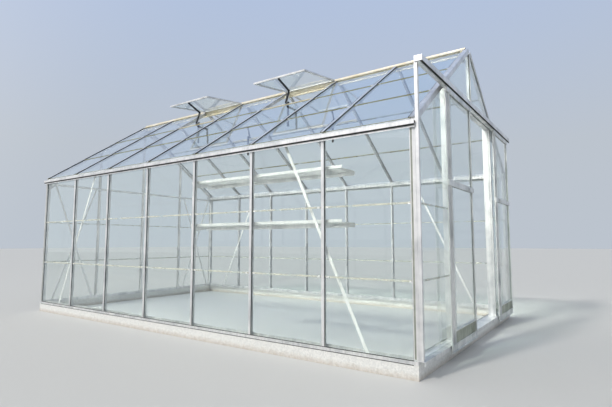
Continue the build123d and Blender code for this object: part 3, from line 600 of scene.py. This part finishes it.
strip_lines = []
roof_shade_strip_lines = []
for side in sides:
    for number in range(1, side_bays + 1):
        for y in edge_lines(number, strip_radius):
            for course in range(courses):
                foot = wall_foot + course * wall_rise
                head = foot + wall_pane_length - (pane_lap if course < courses - 1 else 0)
                strip_lines.append(((side * (wall_x + foot_out), y, foot),
                                    (side * (wall_x + head_out), y, head)))
        for y in edge_lines(number, roof_shade_strip_radius):
            for course in range(courses - (1 if number in vent_bays else 0)):
                foot = course * roof_step - roof_overhang
                head = foot + roof_pane_length - (pane_lap if course < courses - 1 else ridge_cover)
                roof_shade_strip_lines.append((roof_point(side, y, foot, lap_step + pane_face + roof_shade_strip_radius),
                                   roof_point(side, y, head, pane_face + roof_shade_strip_radius)))
lay_strips("roof_strips_painted_shade", roof_shade_strip_lines, roof_shade_strip_radius)

# %% [markdown]
# The gables have upright edges too, cut to the slope of the rafters, and a strip under each
# rafter. The panes beside the doorway stand between the corner post and the jamb, and the
# rear gable has a bar at every bay.

# %% Rubber strips of the gables
jamb_outer = 0.622
jamb_inner = 0.588
beside_cap = cap_half + strip_radius * pressed
beside_post = post_in + strip_radius * pressed
post_edge = wall_x - beside_post
rafter_low_x, rafter_high_x = wall_x - 0.035, 0.035
head_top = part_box("door_head")[1][2]


def upright_strips(x, seat, end, first_foot):
    """Strips up one edge of the panes of a gable, course by course, to the rafter."""
    feet = [first_foot] + [wall_foot + course * wall_rise for course in range(1, courses)]
    heads = feet[1:] + [rafter_underside(x, post_in)]
    return [((x, seat + end * foot_out, foot), (x, seat + end * head_out, head))
            for foot, head in zip(feet, heads)]


for side in sides:
    for x in (post_edge, jamb_outer + strip_radius):
        strip_lines += upright_strips(side * x, front_y, -1, front_floor_z)
    for x in (post_edge, wall_x - bay + beside_cap, wall_x - bay - beside_cap, beside_cap):
        strip_lines += upright_strips(side * x, rear_y, 1, wall_foot)
    for x in (jamb_inner - strip_radius, beside_cap):
        strip_lines.append(((side * x, front_y - foot_out, head_top),
                            (side * x, front_y - head_out, rafter_underside(x, post_in))))
    for seat, end in gables:
        strip_lines.append([(side * x, seat + end * head_out, rafter_underside(x, beside_post))
                            for x in (rafter_low_x, rafter_high_x)])
# The dark line that these strips draw beside the bars is partly the rubber and partly a painted shade at
# the side of each cap.
lay_strips("glazing_strips_with_painted_shade", strip_lines, strip_radius)

# %% [markdown]
# Below the gutter, along the sills and under the door track, black strips of the same rubber
# lie in the joints where shade falls, as a painted shade. A thick strip sits between the
# gutter and its drip, which gives the black line under the bright gutter. A thin one lies at
# the foot of the panes behind the sill's lip, and one between the sill and the steel plinth.
# A pair hangs below the door track, a painted shade in the slot over the doors. All are
# sweeps of the same tree, with another radius.

# %% Painted shade strips along the gutter, the sills and the track
gutter_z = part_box("gutter_left")[0][2] + 0.018
gutter_shade_strip_radius = 0.0045
gutter_shade_strip_out = 0.0305
sill_lip = 0.019
pane_foot_z = floor_z - sill_sheet + sill_lip + 0.0015
plinth_joint_z = floor_z - 0.0062
pane_foot_out = 0.0115
track_end = wall_x + 0.018
track_shade_strip_y = front_y - 0.0618
track_drops = (0.0028, 0.0082)

gutter_shade_strip_lines = []
sill_shade_strip_lines = []
for side in sides:
    gutter_x = side * (wall_x + gutter_shade_strip_out)
    gutter_shade_strip_lines.append([(gutter_x, y, gutter_z - gutter_shade_strip_radius)
                         for y in (front_y - post_out, rear_y + post_out)])
    for out, z in ((pane_foot_out, pane_foot_z), (0.0155, plinth_joint_z)):
        sill_shade_strip_lines.append([(side * (wall_x + out), y, z) for y in (front_y + post_in, rear_y - post_in)])
for out, z in ((pane_foot_out, pane_foot_z), (0.0145, plinth_joint_z)):
    sill_shade_strip_lines.append([(x, rear_y + out, z) for x in (post_in - wall_x, wall_x - post_in)])
track_shade_strip_lines = [[(x, track_shade_strip_y, track_low - drop) for x in (-track_end, track_end)]
               for drop in track_drops]
# Painted shade: these black strips stand for the shade under the gutter, in the joints of the sills and in
# the slot of the track.
lay_strips("gutter_painted_shade_strips", gutter_shade_strip_lines, gutter_shade_strip_radius)
lay_strips("sill_painted_shade_strips", sill_shade_strip_lines, 0.0021)
lay_strips("track_painted_shade_strips", track_shade_strip_lines, 0.0031)

# %% [markdown]
# The frame is bolted together, with the nuts and washers inside the house. There are ninety,
# all alike, so Geometry Nodes puts one at each point. One bolt is a washer, a hexagon with
# a chamfer, and the end of the thread: four short solids joined.
# The point's turn lays it flat against the metal, and a seeded random spin turns each
# hexagon as it was left by the spanner.

# %% Tree for the bolts
# Each solid has its sizes and its height over the metal, with the hexagon one unit across.
bolt_solids = (("Cylinder", {"Vertices": 14, "Radius": 0.62, "Depth": 0.14}, 0.07),
               ("Cylinder", {"Vertices": 6, "Radius": 0.5, "Depth": 0.4}, 0.34),
               ("Cone", {"Vertices": 12, "Radius Top": 0.36, "Radius Bottom": 0.44, "Depth": 0.06}, 0.54),
               ("Cylinder", {"Vertices": 8, "Radius": 0.26, "Depth": 0.24}, 0.66))
bolt_tree, bolt_in = new_tree("bolts", Across="Float", Seed="Int")
bolt = joined(bolt_tree, [(add_node(bolt_tree, "Mesh" + kind, sizes), (0, 0, lift))
                          for kind, sizes, lift in bolt_solids])
bolt_spin = add_node(bolt_tree, "FunctionNodeRandomValue",
                     {"Min": 0.0, "Max": math.pi, "Seed": bolt_in["Seed"]}, data_type="FLOAT")
spin_axis = add_node(bolt_tree, "ShaderNodeCombineXYZ", {"Z": bolt_spin.outputs[1]})
bolts_set = on_points(bolt_tree, bolt_in, bolt, Scale=bolt_in["Across"])
bolts_spun = add_node(bolt_tree, "RotateInstances",
                      {0: bolts_set, "Rotation": spin_axis, "Local Space": True})
close_tree(bolt_tree, bolt_in, bolts_spun)

# %% [markdown]
# The bolts go where the frame needs them: at the foot and the head of every bar, at both
# ends and the crossing of each brace, in the posts, and along the tie of the rear gable.

# %% Bolts
bolt_across = 0.010
sill_wall_in = 0.028
brace_in = 0.0255
toe_in = 0.0225
gutter_wall_in = 0.031
brace_foot_bays = 0.52
brace_head_bays = 1.53
crossing = (1 - brace_foot_bays) / (brace_head_bays - brace_foot_bays)
sill_bolt_z = floor_z + 0.014
brace_end = 0.012
brace_foot_z = floor_z + brace_end
tie_z = eave_z - 0.057
tie_brace_z = tie_z - 0.02
cross_outer = wall_x - 0.085
cross_inner = wall_x - bay + 0.060
cross_x, cross_z = (cross_outer + cross_inner) / 2, (floor_z + tie_z - 0.013) / 2
bar_bolts_up = (0.045, ridge_s - 0.022)
post_bolt_y = 0.012
post_bolt_z = 0.03
jamb_bolt_x = 0.572
along_y = (0, 1, 0)
along_x = (1, 0, 0)
forward = (0, -1, 0)

bolt_spots = []
for side in sides:
    inward = (-side, 0, 0)
    down_in = (-side * math.sin(pitch), 0, -math.cos(pitch))
    for y in (front_y + number * bay for number in range(1, side_bays)):
        bolt_spots += [((side * (wall_x - sill_wall_in), y, sill_bolt_z), along_y, inward),
                       ((side * (wall_x - gutter_wall_in), y, gutter_z + 0.012), along_y, inward)]
        bolt_spots += [(roof_point(side, y, up, -toe_in), along_y, down_in) for up in bar_bolts_up]
    for seat, end in gables:
        for bays, z in ((brace_foot_bays, brace_foot_z), (brace_head_bays, gutter_z - brace_end),
                        (1.0, floor_z + crossing * (gutter_z - floor_z))):
            bolt_spots.append(((side * (wall_x - brace_in), seat - end * bays * bay, z), along_y, inward))
        for z in (front_floor_z + post_bolt_z, gutter_z - post_bolt_z):
            bolt_spots.append(((side * (wall_x - post_in), seat - end * post_bolt_y, z), along_y, inward))
    for x, z in ((cross_outer, brace_foot_z), (cross_inner, brace_foot_z), (cross_outer, tie_brace_z),
                 (cross_inner, tie_brace_z), (cross_x, cross_z), (wall_x - bay, tie_z),
                 (wall_x - 0.045, tie_z)):
        bolt_spots.append(((side * x, rear_y - brace_in, z), along_x, forward))
    for drop in (0.009, 0.027):
        bolt_spots.append(((side * jamb_bolt_x, front_y + post_in, head_top - drop), along_x, along_y))
bolt_spots.append(((0, rear_y - brace_in, tie_z), along_x, forward))
for x in (bay - wall_x, 0, wall_x - bay):
    bolt_spots.append(((x, rear_y - sill_wall_in, sill_bolt_z), along_x, forward))
bolt_points = places("bolt_places", bolt_spots)
frame_bolts = grow("frame_bolts", bolt_tree, bolt_points, Across=bolt_across, Seed=7, Material=brace_metal_painted_sunlit)
settle(frame_bolts, "house", "brace_aluminium")

# %% [markdown]
# Where two panes lap, small metal clips carry the upper one. Each is a strip bent to a Z: a
# lip in front of the upper pane, a ledge under its edge, and a leg that hangs on the head
# of the pane below. From outside only the lip shows, as a bright tick beside each bar.
# The tree joins three thin boxes into the bent strip and puts one at each point.

# %% Clips in the laps
clip_sheet = 0.0007
clip_width = 0.018
clip_lip = 0.006
clip_leg = 0.014
clip_boxes = ((clip_lip, clip_sheet, clip_lip / 2, clip_sheet / 2),
              (clip_sheet, glass + 2 * clip_sheet, -clip_sheet / 2, -glass / 2),
              (clip_leg, clip_sheet, clip_leg / 2 - 0.001, -glass - clip_sheet / 2))
clip_tree, clip_in = new_tree("lap_clips", Width="Float")
clip_solids = []
for height, depth, lift, out in clip_boxes:
    box_size = add_node(clip_tree, "ShaderNodeCombineXYZ", {"X": clip_in["Width"], "Y": height, "Z": depth})
    clip_solids.append((add_node(clip_tree, "MeshCube", {"Size": box_size}), (0, lift, out)))
close_tree(clip_tree, clip_in, on_points(clip_tree, clip_in, joined(clip_tree, clip_solids)))

clip_from_bar = 0.034
post_clip_x = wall_x - 0.045
jamb_clip_x = jamb_outer + 0.03
face_out = lap_step + pane_face
clip_spots = []
for side in sides:
    roof_normal = (side * math.sin(pitch), 0, math.cos(pitch))
    for number in range(1, side_bays + 1):
        for y in (front_y + (number - 1) * bay + clip_from_bar, front_y + number * bay - clip_from_bar):
            for course in range(1, courses):
                clip_spots.append(((side * (wall_x + face_out), y, wall_foot + course * wall_rise),
                                   (0, side, 0), (side, 0, 0)))
                if course == 1 or number not in vent_bays:
                    clip_spots.append((roof_point(side, y, course * roof_step - roof_overhang, face_out),
                                       (0, side, 0), roof_normal))
    rear_clips = (post_clip_x, wall_x - bay + clip_from_bar, wall_x - bay - clip_from_bar, clip_from_bar)
    for (seat, end), edges in zip(gables, ((post_clip_x, jamb_clip_x), rear_clips)):
        for x in edges:
            for course in range(1, courses):
                clip_spots.append(((side * x, seat + end * face_out, wall_foot + course * wall_rise),
                                   (-end, 0, 0), (0, end, 0)))
clip_points = places("clip_places", clip_spots)
lap_clips = grow("lap_clips", clip_tree, clip_points, Width=clip_width, Material=shelf_metal)
settle(lap_clips, "house", "brace_aluminium")

# %% [markdown]
# Some parts are one of a kind and are built by hand, vertex by vertex, with a few shop
# operations: a turned shape from a profile, a flat plate from an outline, a bar bent along
# a path. Each is a row of rings with a skin over them. At the end the edges that turn
# sharply are marked, so that round parts shade smoothly and plates keep crisp edges.
# Outlines and profiles are written in millimetres, as on a shop drawing.

# %% Helpers for parts built by hand
sharp_angle = math.radians(35)


def mm(*pairs):
    """Pairs of sizes in millimetres, turned into metres."""
    return [(a / 1000, b / 1000) for a, b in pairs]


def skin(mesh, rings):
    """Closes a row of rings of points into one solid."""
    rings = [[mesh.verts.new(point) for point in ring] for ring in rings]
    for low, high in zip(rings, rings[1:]):
        for n in range(len(low)):
            mesh.faces.new((low[n - 1], low[n], high[n], high[n - 1]))
    mesh.faces.new(rings[0][::-1])
    mesh.faces.new(rings[-1])


def round_ring(middle, across, beside, count):
    """Points of an ellipse round a middle, from its two half axes."""
    turns = [2 * math.pi * n / count for n in range(count)]
    return [middle + across * math.cos(a) + beside * math.sin(a) for a in turns]


def turned(mesh, base, axis, profile, count=20):
    """Lathe work: a profile of distances along an axis and radii, closed at both ends."""
    axis = Vector(axis).normalized()
    across = axis.orthogonal().normalized()
    beside = axis.cross(across)
    skin(mesh, [round_ring(Vector(base) + axis * along, across * radius, beside * radius, count)
                for along, radius in profile])


def plate(mesh, corners, thickness, chamfer=0.0006):
    """A flat plate from the corners of one face and a vector for its thickness, edges eased."""
    thickness = Vector(thickness)
    corners = [Vector(corner) for corner in corners]
    middle = sum(corners, Vector()) / len(corners)
    eased = chamfer / thickness.length
    skin(mesh, [[c + thickness * share - (c - middle).normalized() * pull for c in corners]
                for share, pull in ((0.0, chamfer), (eased, 0.0), (1 - eased, 0.0), (1.0, chamfer))])


def bent_bar(mesh, path, width_axis, half_width, half_thick):
    """A bar of rounded section bent along a path, wide along one axis."""
    wide = Vector(width_axis).normalized()
    path = [Vector(p) for p in path]
    rings = []
    for n, point in enumerate(path):
        run = (path[min(n + 1, len(path) - 1)] - path[max(n - 1, 0)]).normalized()
        rings.append(round_ring(point, wide * half_width, run.cross(wide).normalized() * half_thick, 12))
    skin(mesh, rings)


def link_outline(start, finish, width, steps=8):
    """Outline of a flat link with round ends, in the plane of x and z."""
    along = (finish - start).normalized()
    beside = Vector((-along.z, 0, along.x))
    return [middle + (beside * math.cos(math.pi * n / steps) + along * math.sin(math.pi * n / steps)) * lead
            for middle, lead in ((finish, width / 2), (start, -width / 2)) for n in range(steps + 1)]


def finished(name, mesh, material):
    """Closes a hand-built mesh, marks its sharp edges and makes an object of it."""
    bmesh.ops.recalc_face_normals(mesh, faces=mesh.faces)
    for face in mesh.faces:
        face.smooth = True
    for edge in mesh.edges:
        edge.smooth = edge.calc_face_angle(math.pi) < sharp_angle
    data = bpy.data.meshes.new(name)
    mesh.to_mesh(data)
    mesh.free()
    data.materials.append(material)
    print(name, "has", len(data.polygons), "faces")
    return put(name, data)


print("shop helpers ready")

# %% [markdown]
# The vent openers work by themselves: a cylinder of wax swells in the sun and pushes a pair
# of arms, and a spring pulls them back. Each is a black tube that hangs under the roof with
# a collar and a cap, a bright piston rod at its head, and two pairs of thin steel arms with
# round ends, joined by pins. We build one at each vent, in the plane across the ridge, from
# the hinge, the elbow and the seat on the vent's cill, as the frame has them.

# %% Vent openers
slot = 0.0095
droop = math.radians(7)
vent_length = 0.520
hinge_radius = 0.0025
arm_width = 0.014
arm_sheet = 0.002
arm_half_gap = 0.005
tube_radius = 0.011
foot_sheet = 0.003
half_foot = Vector((0, 0.013, 0))
half_pin = Vector((0, 0.0095, 0))
rod_foot = Vector((0, 0, 0.006))
rod_radius = 0.0028
elbow_out, elbow_down = 0.349, 0.138
spring_profile = mm((6, 4), (8, 8.5), (30, 9), (31, 10.4), (40, 10.4), (41, 9), (110, 9), (111, 10.4),
                    (120, 10.4), (124, 5))
pin_profile = mm((0, 3), (0.5, 4.2), (2, 4.2), (2.1, 2.8), (16.9, 2.8), (17, 4.2), (18.5, 4.2), (19, 3))
tube_profile = mm((-10, 5.5), (-9, 7.5), (0, 7.5), (1, 11), (12, 11), (13, 9.8), (16, 9.8), (17, 10.6),
                  (196, 10.6), (197, 9.8), (200, 9.8), (201, 11), (222, 11), (229, 8.5), (230, 4))
cill_s = (courses - 1) * roof_step - roof_overhang + pane_lap + glass_gap
hinge_s = ridge_s - 0.006
hinge_out = slot + 0.003 + hinge_radius + 0.0001
tube_s = cill_s + 0.020 + tube_radius / math.cos(pitch) + (slot + 0.0025) * math.tan(pitch) + 0.0003
reach = vent_length - 0.010

openers = bmesh.new()
rods = bmesh.new()
for side in sides:
    along_slope = Vector((-side * math.cos(pitch), 0, math.sin(pitch)))
    off_slope = Vector((side * math.sin(pitch), 0, math.cos(pitch)))
    for number in vent_bays:
        y = front_y + (number - 0.5) * bay
        hinge = roof_point(side, y, hinge_s, hinge_out)
        free = hinge + Vector((side * (reach * math.cos(droop) - 0.002 * math.sin(droop)), 0,
                               -reach * math.sin(droop) - 0.002 * math.cos(droop) - arm_width / 2 - 0.001))
        elbow = hinge + Vector((side * elbow_out, 0, -elbow_down))
        seat_pin = roof_point(side, y, cill_s + 0.010, slot + arm_width)
        for cheek in (-1, 1):
            shift = Vector((0, cheek * arm_half_gap, 0))
            for start, finish in ((free, elbow), (elbow, seat_pin)):
                corners = [c + shift for c in link_outline(start, finish, arm_width)]
                plate(openers, corners, (0, cheek * arm_sheet, 0), 0.0004)
        turned(openers, seat_pin, elbow - seat_pin, spring_profile)
        for pin in (free, elbow, seat_pin):
            turned(openers, pin - half_pin, (0, 1, 0), pin_profile, 16)
        base = roof_point(side, y, cill_s, slot + 0.0002)
        top = base + along_slope * (tube_s + tube_radius - cill_s)
        plate(openers, (base - half_foot, base + half_foot, top + half_foot, top - half_foot),
              off_slope * foot_sheet)
        tube_head = roof_point(side, y, tube_s, slot)
        turned(openers, tube_head, (0, 0, -1), tube_profile, 24)
        rod_length = (elbow - tube_head).length - 0.008
        turned(rods, tube_head + rod_foot, elbow - tube_head - rod_foot,
               ((0, rod_radius), (rod_length, rod_radius)), 14)
settle(finished("opener_arms_and_tubes", openers, coated_steel), "house", "opener_black", "vent_openers")
settle(finished("opener_rods", rods, shelf_metal), "house", "brace_aluminium")

# %% [markdown]
# Each door hangs from two brackets. A bracket is a bent aluminium plate, bolted to the top
# rail, that passes through the slot of the track, with a nylon wheel on each side of it.
# The wheels are turned, with a shallow groove that keeps them on the lips of the track.
# Brackets and wheels ride on their door, so both move with it.

# %% Door hangers
door_boxes = {body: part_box(body + "_frame") for body in ("door_left", "door_right")}
hang_y = front_y - 0.052
rail_top = door_boxes["door_left"][1][2]
wheel_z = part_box("door_left_hangers")[1][2] - 0.011
hanger_from_middle = 0.2275
bracket_half = 0.019
neck_half = 0.009
neck_foot_z = rail_top + 0.012
neck_top_z = wheel_z + 0.002
flange_z = rail_top - 0.0135
flange_half = 0.0125
screw_profile = mm((0, 6.5), (1, 6.5), (1.1, 5.2), (3.5, 4.8), (4.2, 3.5))
axle_profile = mm((0, 1.8), (0.6, 2.8), (18.4, 2.8), (19, 1.8))
wheel_profile = mm((0, 10), (0.4, 10.8), (1, 10.8), (1.6, 10.2), (2.4, 10.2), (3, 10.8), (3.6, 10.8),
                   (4, 10))
neck_outline = ((-bracket_half, rail_top), (bracket_half, rail_top), (bracket_half, neck_foot_z),
                (neck_half, neck_top_z), (-neck_half, neck_top_z), (-bracket_half, neck_foot_z))
flange_outline = [(dx * bracket_half, flange_z + dz * flange_half) for dx, dz in corner_signs]
for body, (low_corner, high_corner) in door_boxes.items():
    brackets = bmesh.new()
    wheels = bmesh.new()
    for spread in (-1, 1):
        x = (low_corner[0] + high_corner[0]) / 2 + spread * hanger_from_middle
        plate(brackets, [(x + dx, hang_y - 0.0015, z) for dx, z in neck_outline], (0, 0.003, 0))
        plate(brackets, [(x + dx, hang_y - 0.0105, z) for dx, z in flange_outline], (0, -0.0018, 0))
        for dx in (-0.011, 0.011):
            turned(brackets, (x + dx, hang_y - 0.0123, rail_top - 0.014), (0, -1, 0), screw_profile, 18)
        turned(brackets, (x, hang_y - 0.0095, wheel_z), (0, 1, 0), axle_profile, 14)
        for cheek in (-1, 1):
            turned(wheels, (x, hang_y + cheek * 0.0050, wheel_z), (0, cheek, 0), wheel_profile, 28)
    settle(finished(body + "_hanger_wheels", wheels, nylon), body, "roller_nylon", body + "_hangers")
    settle(finished(body + "_hanger_brackets", brackets, door_metal), body, "door_aluminium")

# %% [markdown]
# The pull is a short bow of bright metal on the middle rail: a rounded bar bent twice, with
# a flat foot at each end that takes two screws. The fingers go behind it, so it stands off
# the rail.

# %% Handles
bow_points = 17
bow_half_width = 0.0115
bow_half_thick = 0.0024
foot_half_width, foot_half_height = 0.014, 0.0044
bow_screw_profile = mm((0, 2.6), (0.8, 2.4), (1.3, 1.2))
for body in door_boxes:
    handle_low, handle_high = (Vector(c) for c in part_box(body + "_handle"))
    x, _, z = (handle_low + handle_high) / 2
    back = handle_high.y
    bow_reach = handle_high.y - handle_low.y - 0.0026
    half_height = (handle_high.z - handle_low.z) / 2
    pull = bmesh.new()
    bow = []
    for turn in (math.pi * n / (bow_points - 1) for n in range(bow_points)):
        stand_off = bow_reach * min(1.0, 1.25 * math.sin(turn))
        bow.append((x, back - stand_off, z - (half_height - 0.0035) * math.cos(turn)))
    bent_bar(pull, bow, (1, 0, 0), bow_half_width, bow_half_thick)
    for end in (-1, 1):
        foot_z = z + end * (half_height - 0.0045)
        plate(pull, [(x + dx * foot_half_width, back, foot_z + dz * foot_half_height)
                     for dx, dz in corner_signs], (0, -0.002, 0))
        for dx in (-0.0105, 0.0105):
            turned(pull, (x + dx, back - 0.002, foot_z), (0, -1, 0), bow_screw_profile, 12)
    settle(finished(body + "_bow_handle", pull, shelf_metal), body, "handle_aluminium", body + "_handle")

# %% [markdown]
# The panes of the doors are held by rubber too. The strips run round each pane behind the
# beads, so they ride on the door. They come from the same tree as the others.

# %% Rubber strips of the doors
stile = 0.050
pane_spans = ((0.193, 1.1215), (1.1585, rail_top - 0.032))
bead_strip = 0.0010
strip_y = front_y - 0.0530
for body, (low_corner, high_corner) in door_boxes.items():
    across = (low_corner[0] + stile + bead_strip, high_corner[0] - stile - bead_strip)
    door_lines = []
    for low, high in pane_spans:
        door_lines += [[(x, strip_y, z) for z in (low, high)] for x in across]
        door_lines += [[(x, strip_y, z) for x in across] for z in (low + bead_strip, high - bead_strip)]
    lay_strips(body + "_strips", door_lines, bead_strip, body)

# %% [markdown]
# The corner posts have a wide channel beside the glass, and a grey-green strip lies in it,
# a painted shade of the channel, which breaks the post into light and dark bands. It is a
# long flat strip with eased edges that ends a little short of the sill and the gutter.

# %% Painted shade in the channels of the corner posts
channel_strip_middle = 0.0145
channel_strip_half = 0.0051
channel_strip_sheet = 0.0013
channel_strip_foot, channel_strip_head = floor_z + 0.025, gutter_z - 0.004
channel_shade_plates = bmesh.new()
for side in sides:
    face_x = side * (wall_x + post_out - 0.0017)
    for seat, end in gables:
        near, far = seat - end * (channel_strip_middle - channel_strip_half), seat - end * (channel_strip_middle + channel_strip_half)
        plate(channel_shade_plates, ((face_x, near, channel_strip_foot), (face_x, far, channel_strip_foot), (face_x, far, channel_strip_head),
                       (face_x, near, channel_strip_head)), (side * channel_strip_sheet, 0, 0), 0.0004)
# A painted shade: the grey-green strip darkens the channel where shade falls.
channel_shade_finish = dark_finish("painted_channel_shade_strip", "#83897f", "#9a9d93", 0.6, 1.5)
settle(finished("post_channel_painted_shade", channel_shade_plates, channel_shade_finish), "house", "roller_nylon")

# %% [markdown]
# Black plates close the open ends of the hollow ridge and of the gutters, a painted shade for
# the dark inside of those hollow ends. Each is a thin moulded plate cut to the section, so it
# is drawn as the outline of that section.

# %% Painted shade at the open ends
end_plate_sheet = 0.0015
end_plate_chamfer = 0.0003
ridge_end = 0.021
apex_z = eave_z + wall_x * math.tan(pitch)
ridge_half = mm((0, 17.2), (8.8, 17.2), (8.8, 9.5), (44.7, -16.5), (43, -18.8), (33, -12), (15.6, -36.5),
                (7.8, -39), (7.8, -51.5))
ridge_outline = ridge_half + [(-x, z) for x, z in reversed(ridge_half[1:])]
gutter_outline = mm((7, 3.5), (34, 3.5), (34, 21), (20, 19), (7, 19))
# Painted shade: the black plates stand for the dark inside the hollow ends.
end_shade_plates = bmesh.new()
for seat, end in gables:
    outward = (0, end * end_plate_sheet, 0)
    plate(end_shade_plates, [(x, seat - end * ridge_end, apex_z + z) for x, z in ridge_outline], outward, end_plate_chamfer)
    for side in sides:
        gutter_end = seat + end * (post_out - end_plate_sheet)
        plate(end_shade_plates, [(side * (wall_x + x), gutter_end, gutter_z + z) for x, z in gutter_outline],
              outward, end_plate_chamfer)
settle(finished("end_plates_painted_shade", end_shade_plates, nylon), "house", "roller_nylon")

# %% [markdown]
# Small angle brackets stiffen the places where bars meet: under the eave at each corner,
# where post and gutter join, and at the crest of each gable, where the rafters meet the
# ridge. They are plates with eased edges, three screws at each eave, and belong to the house.

# %% Corner plates
cleat_in = 0.0255
cleat_sheet = 0.002
corner_x = wall_x - 0.026
crest_z = rafter_underside(0, 0.0)
eave_outline = mm((0, 0), (85, -45), (92, -28), (30, 45), (0, 75))
crest_outline = mm((12, 75), (100, 125), (100, 150), (12, 115))
cleat_screws = mm((12, 20), (12, 55), (55, 0))
cleat_screw_profile = mm((0, 6.2), (1.2, 6.2), (1.3, 5), (4, 4.7), (4.5, 3))
cleats = bmesh.new()
for side in sides:
    for seat, end in gables:
        plane_y = seat - end * cleat_in
        sheet = (0, -end * cleat_sheet, 0)
        plate(cleats, [(side * (corner_x - dx), plane_y, gutter_z - dz) for dx, dz in eave_outline], sheet)
        plate(cleats, [(side * dx, plane_y, crest_z - dz) for dx, dz in crest_outline], sheet)
        for dx, dz in cleat_screws:
            head = (side * (corner_x - dx), plane_y - end * cleat_sheet, gutter_z - dz)
            turned(cleats, head, (0, -end, 0), cleat_screw_profile, 12)
settle(finished("corner_plates", cleats, frame_metal), "house", "frame_aluminium")

# %% [markdown]
# Last, the view transform stays plain, so a colour comes out as it was written.

# %% Finish
bpy.context.scene.view_settings.view_transform = "Standard"
